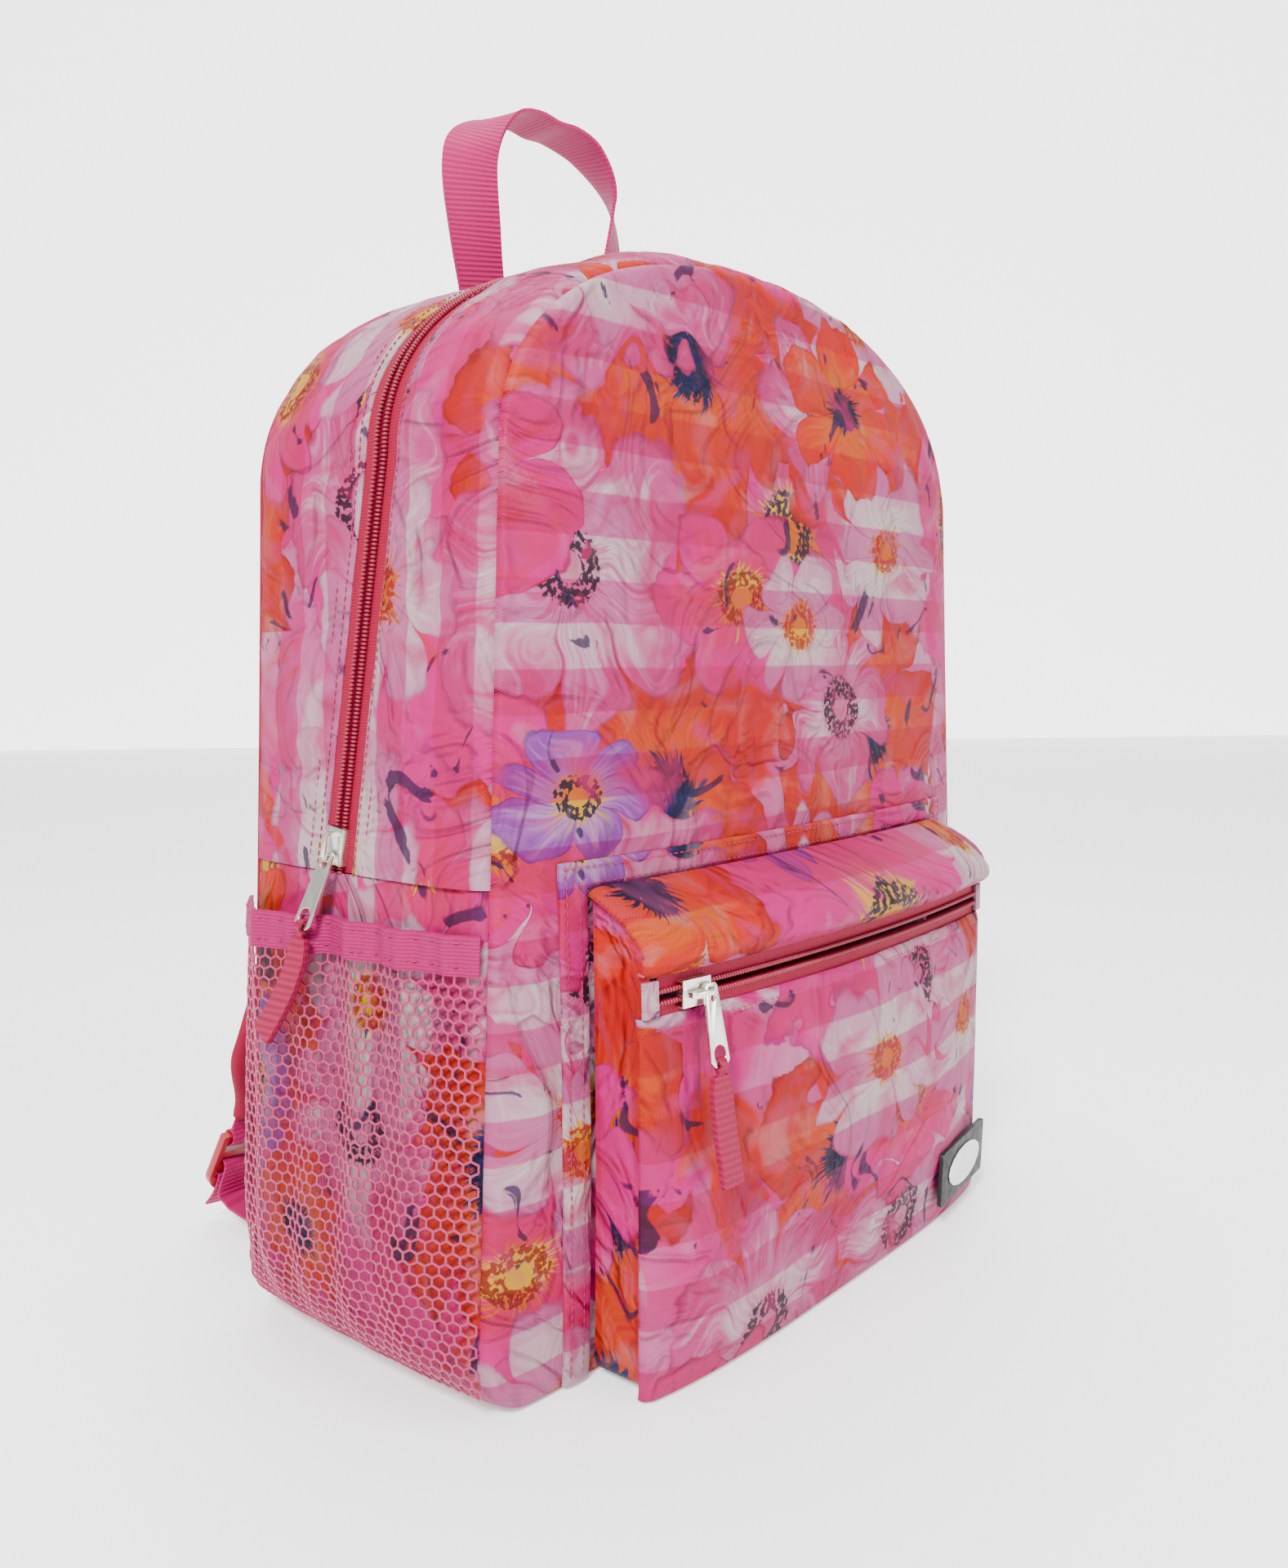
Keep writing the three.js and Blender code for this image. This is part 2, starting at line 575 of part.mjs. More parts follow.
// The puller hangs down -Y from its top bar's middle.
const EYE_LENGTH = 5.2;
const HOLE_RADIUS = 3;
const LOWER_BAR = 1.8;
function pullerGeometry() {
  const top = PULLER_BAR / 2;
  const end = top - PULLER_LENGTH;
  const outline = polygon([
    [-3.2, top - 1],
    [-2.2, top],
    [2.2, top],
    [3.2, top - 1],
    [4.6, end + 2],
    [3, end],
    [-3, end],
    [-4.6, end + 2],
  ]);
  const eye = new THREE.Path();
  eye.moveTo(-1.7, -top);
  eye.lineTo(-1.7, -top - EYE_LENGTH + 1.7);
  eye.absarc(0, -top - EYE_LENGTH + 1.7, 1.7, Math.PI, 2 * Math.PI);
  eye.lineTo(1.7, -top);
  outline.holes.push(eye);
  outline.holes.push(new THREE.Path().absarc(0, end + LOWER_BAR + HOLE_RADIUS, HOLE_RADIUS, 0, 2 * Math.PI));
  return extrude(outline, PULLER_THICK);
}
const PULLER_LOWER_BAR = PULLER_BAR / 2 - PULLER_LENGTH + LOWER_BAR / 2;

// A loop round a bar at the origin, with its two ends sewn together down -Y. X is the loop's width.
function loopGeometry(inner, wall, width, tail) {
  const outer = inner + wall;
  const half = wall;
  const start = Math.asin(half / outer);
  const shape = new THREE.Shape();
  shape.moveTo(half, -tail);
  shape.absarc(0, 0, outer, -Math.PI / 2 + start, 1.5 * Math.PI - start);
  shape.lineTo(-half, -tail);
  shape.holes.push(new THREE.Path().absarc(0, 0, inner, 0, 2 * Math.PI));
  return extrude(shape, width).rotateY(Math.PI / 2);
}

// A pull tape: its loop is narrow where it passes the puller's hole. sway bends it across, out bends it out.
function pullTapeGeometry(sway, out) {
  const loop = loopGeometry(1.5, 1.1, 3.2, 6);
  const curve = new THREE.CatmullRomCurve3([
    V(0, -4.2, 0),
    V(0, -14, out * 0.2),
    V(sway * 0.25, -26, out * 0.5),
    V(sway, -PULL_TAPE_LENGTH, out),
  ]);
  const width = (u) => PULL_TAPE_WIDTH * mix(0.72, 1, ease(u * 5));
  return joined(loop, ribbon(curve, () => X_AXIS.clone(), width, PULL_TAPE_THICK, 12));
}

function frameAt(origin, along, outward) {
  const across = along.clone().cross(outward);
  const group = new THREE.Group();
  group.matrixAutoUpdate = false;
  group.matrix.makeBasis(across, along, outward).setPosition(origin);
  return group;
}

const BAR_Y = -5.5 + CROWN_WIRE + 1; // the puller's top bar, just inside the crown
const BAR_Z = PLATE_TOP + (CROWN_HEIGHT - CROWN_WIRE) / 2;

function makeMainSlider() {
  const low = -rimAtZ(ZIP_END_Z + 10);
  const high = -rimAtZ(SHOULDER_Z - 10);
  const from = gusset(low, zipY(low), CLOTH + SEAM_GAP);
  const along = gusset(high, zipY(high), CLOTH + SEAM_GAP).sub(from).normalize();
  const outward = V(-1, 0, 0);
  outward.addScaledVector(along, -outward.dot(along)).normalize();
  const slider = frameAt(from, along, outward);
  bag.add(slider);
  add("main_slider", sliderGeometry(), NICKEL, slider);
  const puller = new THREE.Group();
  puller.position.set(0, BAR_Y, BAR_Z);
  puller.rotation.x = THREE.MathUtils.degToRad(-MAIN_PULLER_TILT);
  slider.add(puller);
  add("main_puller", pullerGeometry(), NICKEL, puller);
  const tape = new THREE.Group();
  tape.position.set(0, PULLER_LOWER_BAR, 0);
  tape.rotation.x = THREE.MathUtils.degToRad(MAIN_PULLER_TILT);
  puller.add(tape);
  add("main_pull_tape", pullTapeGeometry(-9, 6), PINK_CLOTH, tape);
}
const MAIN_PULLER_TILT = 18; // the puller leans out over the side pocket's mouth

function makePocketSlider() {
  const angle = -Math.asin((ZIP_HALF - 16) / ZIP_ARC);
  const r = ZIP_ARC - CLOTH - SEAM_GAP;
  const origin = V(r * Math.sin(angle), ZIP_CENTRE_Y - r * Math.cos(angle), POCKET_ZIP_Z);
  const along = V(Math.cos(angle), Math.sin(angle), 0);
  const outward = V(Math.sin(angle), -Math.cos(angle), 0);
  const slider = frameAt(origin, along, outward);
  bag.add(slider);
  add("front_pocket_slider", sliderGeometry(), NICKEL, slider);
  const puller = new THREE.Group();
  puller.position.set(POCKET_BAR_X, 5.5 - CROWN_WIRE / 2, BAR_Z);
  puller.rotation.set(0, THREE.MathUtils.degToRad(-POCKET_PULLER_TILT), Math.PI / 2, "YXZ");
  slider.add(puller);
  add("front_pocket_puller", pullerGeometry(), NICKEL, puller);
  const tape = new THREE.Group();
  tape.position.set(0, PULLER_LOWER_BAR, 0);
  tape.rotation.x = THREE.MathUtils.degToRad(POCKET_PULLER_TILT);
  puller.add(tape);
  add("front_pocket_pull_tape", pullTapeGeometry(2, 4), PINK_CLOTH, tape);
}
const POCKET_BAR_X = -(1 + PULLER_BAR / 2 + 0.3); // the bar hangs on the crown's leg from above
const POCKET_PULLER_TILT = 10;

// ---- Haul handle ----
function makeHandle() {
  const half = HANDLE_SPAN / 2;
  const seam = (x) => SHOULDER_Z + (BODY_HEIGHT - SHOULDER_Z) * (1 - (x / sideLine(400)) ** ARCH_POWER) ** (1 / ARCH_POWER);
  const base = seam(half - WEBBING / 2) + sideBulge(HANDLE_Y - 5) + HANDLE_GAP;
  const curve = new THREE.CatmullRomCurve3([
    V(-half, HANDLE_Y, base),
    V(-half - 2, HANDLE_Y, base + HANDLE_RISE * 0.34),
    V(-half + 4, HANDLE_Y, base + HANDLE_RISE * 0.68),
    V(-half * 0.5, HANDLE_Y, base + HANDLE_RISE * 0.94),
    V(0, HANDLE_Y, base + HANDLE_RISE),
    V(half * 0.5, HANDLE_Y, base + HANDLE_RISE * 0.94),
    V(half - 4, HANDLE_Y, base + HANDLE_RISE * 0.68),
    V(half + 2, HANDLE_Y, base + HANDLE_RISE * 0.34),
    V(half, HANDLE_Y, base),
  ]);
  // The webbing leaves the seam nearly flat and turns edge-on by the top.
  const across = (u) => {
    const turn = mix(0.12, Math.PI / 2, ease(Math.min(u, 1 - u) * 2.4));
    return V((u < 0.5 ? 1 : -1) * Math.cos(turn), -Math.sin(turn), 0);
  };
  add("haul_handle", ribbon(curve, across, WEBBING, WEBBING_THICK, 36), PINK_CLOTH);
}

// ---- Shoulder straps ----
function strapCurve(way) {
  return new THREE.CatmullRomCurve3([
    V(way * 56, 80, 400),
    V(way * 60, 94, 382),
    V(way * 70, 105, 340),
    V(way * 84, 108, 270),
    V(way * 98, 107, 200),
    V(way * 110, 110, 140),
    V(way * 118, 121, 95),
    V(way * 124, 140, 54),
  ]);
}

function lockGeometry() {
  const w = LOCK_WIDTH / 2;
  const shape = polygon([[-w, 0], [-w, -LOCK_LENGTH + 9]]);
  shape.absarc(-w + 9, -LOCK_LENGTH + 9, 9, Math.PI, 1.5 * Math.PI);
  shape.absarc(w - 9, -LOCK_LENGTH + 9, 9, 1.5 * Math.PI, 2 * Math.PI);
  shape.lineTo(w, 0);
  const slotHalf = w - 2.8;
  for (const [top, bottom] of LOCK_SLOTS) {
    const slot = new THREE.Path();
    slot.moveTo(-slotHalf, -top);
    slot.lineTo(slotHalf, -top);
    slot.lineTo(slotHalf, -bottom);
    slot.lineTo(-slotHalf, -bottom);
    shape.holes.push(slot);
  }
  return extrude(shape, LOCK_THICK);
}
// Each slot's top and bottom edge below the lock's top edge: the strap's loop, then the webbing twice.
const LOCK_SLOTS = [
  [LOCK_BAR, LOCK_BAR + 4.6],
  [12, 16],
  [19.5, 23.5],
];

// The webbing's route through the lock: distance down the lock, and out of its face on the bag's side.
const LOCK_THREADING = [
  [31, 8],
  [25, 5.6],
  [19, 5.2],
  [15.2, 4.2],
  [14, 2],
  [14, -1.4],
  [15.2, -3.1],
  [17.8, -3.6],
  [20.2, -3.1],
  [21.4, -1.4],
  [21.6, 1.2],
  [23.4, 2.9],
  [28, 3.2],
  [34, 2.8],
  [40, 1],
];

function makeStrap(name, way) {
  const curve = strapCurve(way);
  const across = () => X_AXIS.clone();
  const width = (u) => STRAP_WIDTH * (1 - 0.5 * ease((u - 0.88) / 0.12));
  const layer = (thickness, lift) => ribbon(curve, across, width, thickness, 20, lift);
  const step = (STRAP_FOAM + STRAP_CLOTH) / 2 + 0.3;
  add(`strap_cover_${name}`, layer(STRAP_CLOTH, step), PINK_CLOTH);
  add(`strap_foam_${name}`, layer(STRAP_FOAM, 0), FOAM_WHITE);
  add(`strap_lining_${name}`, layer(STRAP_CLOTH, -step), PINK_CLOTH);

  const end = curve.getPoint(1);
  const down = curve.getTangent(1);
  const wide = X_AXIS.clone().addScaledVector(down, -down.x).normalize();
  const lock = new THREE.Group();
  lock.matrixAutoUpdate = false;
  const up = down.clone().negate();
  lock.matrix.makeBasis(wide, up, wide.clone().cross(up));
  lock.matrix.setPosition(end.clone().addScaledVector(down, STRAP_LOOP_TAIL + 0.5));
  bag.add(lock);
  const loop = loopGeometry(3.1, 1, STRAP_WEBBING, STRAP_LOOP_TAIL).rotateX(Math.PI);
  add(`strap_loop_${name}`, loop, PINK_CLOTH, lock);
  add(`ladder_lock_${name}`, lockGeometry().translate(0, LOCK_BAR / 2, 0), LOCK_PLASTIC, lock);

  // The webbing comes from its anchor behind the lock, goes up, over the bar and down again.
  const inLock = ([far, high]) => V(0, LOCK_BAR / 2 - far, high).applyMatrix4(lock.matrix);
  const anchor = V(way * ANCHOR_X, BACK_Y + 7, 22);
  const sag = [V(way * (ANCHOR_X - 1), BACK_Y + 18, 12), V(way * (ANCHOR_X - 3), BACK_Y + 34, 7)];
  const points = [anchor, ...sag, ...LOCK_THREADING.map(inLock)];
  const route = new THREE.CatmullRomCurve3(points, false, "centripetal");
  const webbing = ribbon(route, () => wide.clone(), STRAP_WEBBING, STRAP_WEBBING_THICK, 56);
  add(`strap_webbing_${name}`, webbing, PINK_CLOTH);

  const patch = new THREE.BoxGeometry(34, 3, 26);
  add(`strap_anchor_${name}`, patch.translate(way * ANCHOR_X, BACK_Y + 3.6, 20), PRINT);
}
const STRAP_LOOP_TAIL = 12;

function makeYoke() {
  const outside = (u, v) => {
    const x = mix(-88, 88, u);
    const z = mix(384, 402, v) - 3 * Math.abs(2 * u - 1);
    return V(x, backY(x, z) + SEAM_GAP + 1.6, z);
  };
  add("strap_yoke", sheet(outside, () => V(0, -1, 0), 1.6, 12, 1), PRINT);
}

makeFrontAndBack();
makeBands();
makeSides();
makeMeshPockets();
makePocket();
makeLabel();
makeMainSlider();
makePocketSlider();
makeHandle();
makeStrap("left", -1);
makeStrap("right", 1);
makeYoke();

export default bag;
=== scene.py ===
"""A school backpack in flower-printed polyester, standing on a pale floor. Metres, front towards -Y."""

import bpy
import json
import math
import numpy as np
from mathutils import Matrix, Vector

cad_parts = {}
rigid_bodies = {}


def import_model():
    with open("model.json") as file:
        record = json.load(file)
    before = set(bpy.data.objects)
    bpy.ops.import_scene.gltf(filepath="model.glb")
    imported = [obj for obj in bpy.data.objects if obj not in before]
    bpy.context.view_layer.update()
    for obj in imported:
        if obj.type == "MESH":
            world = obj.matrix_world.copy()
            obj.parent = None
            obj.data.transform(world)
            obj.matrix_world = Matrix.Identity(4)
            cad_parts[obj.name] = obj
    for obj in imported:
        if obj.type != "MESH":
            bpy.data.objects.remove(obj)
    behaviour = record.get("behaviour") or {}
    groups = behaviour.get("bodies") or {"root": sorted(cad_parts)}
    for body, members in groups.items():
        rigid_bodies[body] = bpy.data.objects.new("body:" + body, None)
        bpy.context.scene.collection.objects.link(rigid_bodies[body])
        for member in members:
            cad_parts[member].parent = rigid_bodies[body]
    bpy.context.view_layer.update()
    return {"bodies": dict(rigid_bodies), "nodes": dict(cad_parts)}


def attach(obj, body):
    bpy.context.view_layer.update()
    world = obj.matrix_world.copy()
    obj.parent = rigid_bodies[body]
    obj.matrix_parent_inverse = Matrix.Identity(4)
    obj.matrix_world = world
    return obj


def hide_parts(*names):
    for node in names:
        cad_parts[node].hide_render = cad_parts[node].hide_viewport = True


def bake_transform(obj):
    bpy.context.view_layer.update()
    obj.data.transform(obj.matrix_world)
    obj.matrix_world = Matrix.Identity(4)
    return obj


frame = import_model()
NODES = frame["nodes"]
MM = 0.001

# ---- Camera ----
CAMERA_PLACE = (-0.4626, -0.3899, 0.2638)
CAMERA_TURN = -49.76  # degrees, from looking along +Y
CAMERA_DIP = 5.23
CAMERA_ROLL = -0.71
CAMERA_LENS = 1584 / 1920 * 36


def placed(name, data):
    """A new object in the scene."""
    made = bpy.data.objects.new(name, data)
    bpy.context.scene.collection.objects.link(made)
    return made


def place_camera():
    turn, dip, roll = (math.radians(a) for a in (CAMERA_TURN, CAMERA_DIP, CAMERA_ROLL))
    forward = Vector((-math.sin(turn) * math.cos(dip), math.cos(turn) * math.cos(dip), -math.sin(dip)))
    right = Vector((math.cos(turn), math.sin(turn), 0))
    up = right.cross(forward)
    side = math.cos(roll) * right + math.sin(roll) * up
    top = -math.sin(roll) * right + math.cos(roll) * up
    camera = placed("camera", bpy.data.cameras.new("camera"))
    camera.data.lens = CAMERA_LENS
    camera.data.sensor_width = 36
    camera.data.clip_start = 0.01
    axes = Matrix((side, top, -forward)).transposed().to_4x4()
    camera.matrix_world = Matrix.Translation(CAMERA_PLACE) @ axes
    bpy.context.scene.camera = camera


place_camera()

# ---- Sizes, as in the solids ----
WIDTH = 0.352
HEIGHT = 0.424
DEPTH = 0.142
TAPER = 0.025
SHOULDER = 0.340
ARCH = 2.2
FOOT = 0.022  # radius of the lower corners
SIDE_BULGE = 0.007
FRONT_BULGE = 0.013
BACK_BULGE = 0.005
RIM_ARCH = 0.68  # the arch's share of the rim
CLOTH = 0.0012
COATED_FOLD = 1.6 * MM  # two layers of cloth, or webbing
TAPE_THICK = 0.9 * MM
SEAM_CURL = 4.2 * MM  # how far a panel's border turns into its seam
FRAYED_CURL = 1.2 * MM  # the same beside a zip
ZIP_SLIT = 0.014
ZIP_END = 0.188
ZIP_LOW = 0.008
ZIP_TOP = -0.014
TAPE_WIDTH = 0.015
TAPE_GAP = 1.2 * MM  # from a zip's middle to its tape
LIPS = 0.0088  # from the main zip's middle to the folded cloth on either side
ZIP_SUNK = 0.0025
FRONT = -DEPTH / 2
BACK = DEPTH / 2
EDGE = BACK - 0.0025  # the gusset's two edges

POCKET_HALF = 0.129
POCKET_TOP = 0.186
POCKET_ZIP = 0.148
POCKET_DEPTH = 0.042
POCKET_ZIP_DEPTH = 0.045
POCKET_ZIP_BOW = 0.008
POCKET_ZIP_HALF = POCKET_HALF - 0.007
POCKET_ARC = (POCKET_ZIP_HALF**2 + POCKET_ZIP_BOW**2) / (2 * POCKET_ZIP_BOW)
POCKET_CENTRE = FRONT - POCKET_ZIP_DEPTH + POCKET_ARC
FLANGE = 0.011

MESH_TOP = 0.173
NET_CELL = 4.6 * MM
NET_THREAD = 0.47 * MM  # its radius, a little coarse so that it shows
ELASTIC = 0.014
HANDLE_HALF = 0.042
HANDLE_RISE = 0.084
HANDLE_Y = 0.060
WEBBING = 0.025
STRAP_WIDTH = 0.056
STRAP_HALF_THICK = 0.0052
STRAP_LINE = [(56, 80, 400), (60, 94, 382), (70, 105, 340), (84, 108, 270), (98, 107, 200),
              (110, 110, 140), (118, 121, 95), (124, 140, 54)]  # in millimetres

STITCH_PITCH = 3.2 * MM
STITCH_LENGTH = 2.3 * MM
STITCH_WIDTH = 0.55 * MM
STRIPE_PERIOD = 31 * MM
STRIPE_STRENGTH = 0.8

# ---- Lights ----
ROOM_LIGHT = 0.75
BACKDROP_LIGHT = 2.4
FLOOR_LIGHT = 0.45  # the floor is lit from below
LIGHTS = (
    ("key", (-1.9, -0.9, 2.0), 165, 0.6),
    ("fill", (0.9, -2.2, 0.9), 40, 1.2),
    ("top", (0.1, 0.3, 2.3), 45, 1.2),
)
LIGHTS_AIM = Vector((0, 0, 0.2))

# ---- Colours ----
HOT_PINK = "ff00b4"
MAGENTA = "cc00a4"
ORANGE = "ff4800"
POPPY = "f01818"
LILAC = "c46cd0"
YELLOW = "ffd020"
NAVY = "262a66"
CRIMSON = "e80074"
WEBBING_PINK = "ff00a8"
ELASTIC_PINK = "fc10ac"
INK = "3a2f7a"
WATERY_PINK = "fbd3e2"
POOLED_PINK = "f24aa6"
STRIPE_INK = (0.86, 0.15, 0.56, 1.0)  # the see-through stripes, as linear light
DYE_LIGHT = 0.34
DYE_DEPTH = 1.5


def linear(hex_colour):
    """An sRGB hex colour as linear light, as deep as the dye is."""
    parts = [int(hex_colour[i : i + 2], 16) / 255 for i in (0, 2, 4)]
    light = [c / 12.92 if c <= 0.04045 else ((c + 0.055) / 1.055) ** 2.4 for c in parts]
    return (*[DYE_LIGHT * c**DYE_DEPTH for c in light], 1.0)


def add(tree, kind, inputs=(), **settings):
    """A new node with its settings and its first inputs given; returns its first output."""
    made = tree.nodes.new(kind)
    for key, value in settings.items():
        setattr(made, key, value)
    pairs = inputs.items() if isinstance(inputs, dict) else enumerate(inputs)
    for key, value in pairs:
        if value is None:
            continue
        if isinstance(value, bpy.types.NodeSocket):
            tree.links.new(value, made.inputs[key])
        else:
            made.inputs[key].default_value = value
    return made.outputs[0]


MATH = "ShaderNodeMath"
NOISE = "ShaderNodeTexNoise"
RANGE = "ShaderNodeMapRange"
MIX = "ShaderNodeMixRGB"
FLAT = {"noise_dimensions": "2D"}


def node_group(name, kind, output, **inputs):
    """An empty node group with its inputs, each a kind of socket or a number to start from."""
    tree = bpy.data.node_groups.new(name, kind)
    for label, given in inputs.items():
        number = not isinstance(given, str)
        socket = "NodeSocket" + ("Float" if number else given)
        made = tree.interface.new_socket(label, in_out="INPUT", socket_type=socket)
        if number:
            made.default_value = given
    tree.interface.new_socket(output, in_out="OUTPUT", socket_type="NodeSocket" + output)
    return tree, add(tree, "NodeGroupInput").node.outputs


def flower_group():
    """Scattered flowers: petals with dark edges and streaks, a yellow heart and a ring of stamens."""
    shades = dict.fromkeys(("Under", "Inner", "Outer", "Edge", "Heart", "Stamen"), "Color")
    t, g = node_group("Flower", "ShaderNodeTree", "Color", Place="Vector", Cell=0.1, Radius=0.04,
                      Petals=6, Share=0.8, Shift=0, **shades)
    inverse = add(t, MATH, [1.0, g["Cell"]], operation="DIVIDE")
    cells = add(t, "ShaderNodeVectorMath", {0: g["Place"], "Scale": inverse}, operation="SCALE")
    shifted = add(t, "ShaderNodeVectorMath", [cells, g["Shift"]])
    voronoi = add(t, "ShaderNodeTexVoronoi", {"Vector": shifted, "Scale": 1.0, "Randomness": 0.5},
                  voronoi_dimensions="2D").node.outputs
    offset = add(t, "ShaderNodeVectorMath", [shifted, voronoi["Position"]], operation="SUBTRACT")
    flat = add(t, "ShaderNodeVectorMath", {0: offset, "Scale": g["Cell"]}, operation="SCALE")
    wobble = add(t, NOISE, {"Vector": g["Place"], "Scale": 60.0, "Detail": 3.0}, **FLAT)
    broad = add(t, NOISE, {"Vector": g["Place"], "Scale": 26.0, "Detail": 1.0}, **FLAT)
    dice = add(t, "ShaderNodeSeparateColor", [voronoi["Color"]]).node.outputs
    xyz = add(t, "ShaderNodeSeparateXYZ", [flat]).node.outputs
    squash = add(t, MATH, [dice["Blue"], 0.35, 0.75], operation="MULTIPLY_ADD")
    across = add(t, MATH, [xyz["X"], squash], operation="MULTIPLY")
    angle = add(t, MATH, [xyz["Y"], across], operation="ARCTAN2")
    turned = add(t, MATH, [dice["Red"], 6.28, angle], operation="MULTIPLY_ADD")
    bent = add(t, MATH, [broad, 1.5, turned], operation="MULTIPLY_ADD")
    half_petals = add(t, MATH, [g["Petals"], 0.5], operation="MULTIPLY")
    wave = add(t, MATH, [add(t, MATH, [bent, half_petals], operation="MULTIPLY")], operation="COSINE")
    lobe = add(t, MATH, [add(t, MATH, [wave], operation="ABSOLUTE"), 0.5], operation="POWER")
    reach = add(t, MATH, [lobe, 0.5, 0.5], operation="MULTIPLY_ADD")
    uneven = add(t, MATH, [wobble, 0.35, 0.82], operation="MULTIPLY_ADD")
    limit = add(t, MATH, [reach, uneven], operation="MULTIPLY")
    size = add(t, MATH, [dice["Green"], 0.45, 0.75], operation="MULTIPLY_ADD")
    limit = add(t, MATH, [limit, size], operation="MULTIPLY")
    limit = add(t, MATH, [limit, g["Radius"]], operation="MULTIPLY")
    flat2 = add(t, "ShaderNodeCombineXYZ", [across, xyz["Y"]])
    far = add(t, "ShaderNodeVectorMath", [flat2], operation="LENGTH").node.outputs["Value"]
    q = add(t, MATH, [far, limit], operation="DIVIDE")
    inside = add(t, RANGE, [q, 0.985, 1.01, 1.0, 0.0])
    grows = add(t, MATH, [dice["Blue"], g["Share"]], operation="LESS_THAN")
    mask = add(t, MATH, [inside, grows], operation="MULTIPLY")
    # streaks run out from the heart
    spokes = add(t, "ShaderNodeCombineXYZ", [add(t, MATH, [bent, 5.0], operation="MULTIPLY"), q])
    streak = add(t, NOISE, {"Vector": spokes, "Scale": 2.2, "Detail": 3.0}, **FLAT)
    pool = add(t, MATH, [q, 1.6], operation="POWER")
    blend = add(t, MATH, [streak, 1.5, pool], operation="MULTIPLY_ADD")
    blend = add(t, RANGE, [blend, 0.55, 1.55, 0.0, 1.0])
    petal = add(t, MIX, [blend, g["Inner"], g["Outer"]])
    rim = add(t, RANGE, [q, 0.90, 0.985, 0.0, 1.0])
    rim = add(t, MATH, [rim, wobble], operation="MULTIPLY")
    rim = add(t, RANGE, [rim, 0.25, 0.6, 0.0, 0.75])
    petal = add(t, MIX, [rim, petal, g["Edge"]])
    crease = add(t, RANGE, [add(t, MATH, [wave], operation="ABSOLUTE"), 0.0, 0.12, 0.45, 0.0])
    petal = add(t, MIX, [crease, petal, g["Edge"]])
    near = add(t, MATH, [far, g["Radius"]], operation="DIVIDE")
    ragged = add(t, MATH, [streak, 0.55, near], operation="MULTIPLY_ADD")
    heart = add(t, RANGE, [ragged, 0.50, 0.54, 1.0, 0.0])
    dots = add(t, NOISE, {"Vector": g["Place"], "Scale": 420.0, "Detail": 2.0}, **FLAT)
    ring = add(t, RANGE, [add(t, MATH, [near, 0.22], operation="SUBTRACT"), 0.0, 0.09, 1.0, 0.0])
    ringed = add(t, MATH, [ring, add(t, MATH, [near, 0.10], operation="GREATER_THAN")], operation="MULTIPLY")
    stamens = add(t, RANGE, [add(t, MATH, [dots, ringed], operation="MULTIPLY"), 0.42, 0.48, 0.0, 0.95])
    petal = add(t, MIX, [heart, petal, g["Heart"]])
    petal = add(t, MIX, [stamens, petal, g["Stamen"]])
    out = add(t, MIX, [mask, g["Under"], petal])
    t.links.new(out, t.nodes.new("NodeGroupOutput").inputs["Color"])
    return t


def surface(name, roughness, sheen=0.0, metallic=0.0, gloss=0.5):
    """A material with its principled shader set; returns the material, its tree and the shader."""
    material = bpy.data.materials.new(name)
    material.use_nodes = True
    tree = material.node_tree
    shader = tree.nodes["Principled BSDF"]
    settings = {"Roughness": roughness, "Sheen Weight": sheen, "Sheen Roughness": 0.45,
                "Specular IOR Level": gloss, "Metallic": metallic}
    for key, value in settings.items():
        shader.inputs[key].default_value = value
    return material, tree, shader


def weave_bump(tree, shader, place, pitch, strength, depth=0.0002):
    """Crossing threads pitch apart, as raised threads in the shading."""
    xyz = add(tree, "ShaderNodeSeparateXYZ", [place]).node.outputs
    turns = 2 * math.pi / pitch
    lift = [
        add(tree, MATH, [add(tree, MATH, [xyz[axis], turns], operation="MULTIPLY")], operation="SINE")
        for axis in ("X", "Y")
    ]
    checks = add(tree, MATH, lift, operation="MULTIPLY")
    slubs = add(tree, NOISE, {"Vector": place, "Scale": 0.6 / pitch, "Detail": 2.0}, **FLAT)
    height = add(tree, MATH, [slubs, 1.2, checks], operation="MULTIPLY_ADD")
    bump = add(tree, "ShaderNodeBump", {"Strength": strength, "Distance": depth, "Height": height})
    tree.links.new(bump, shader.inputs["Normal"])
    return checks


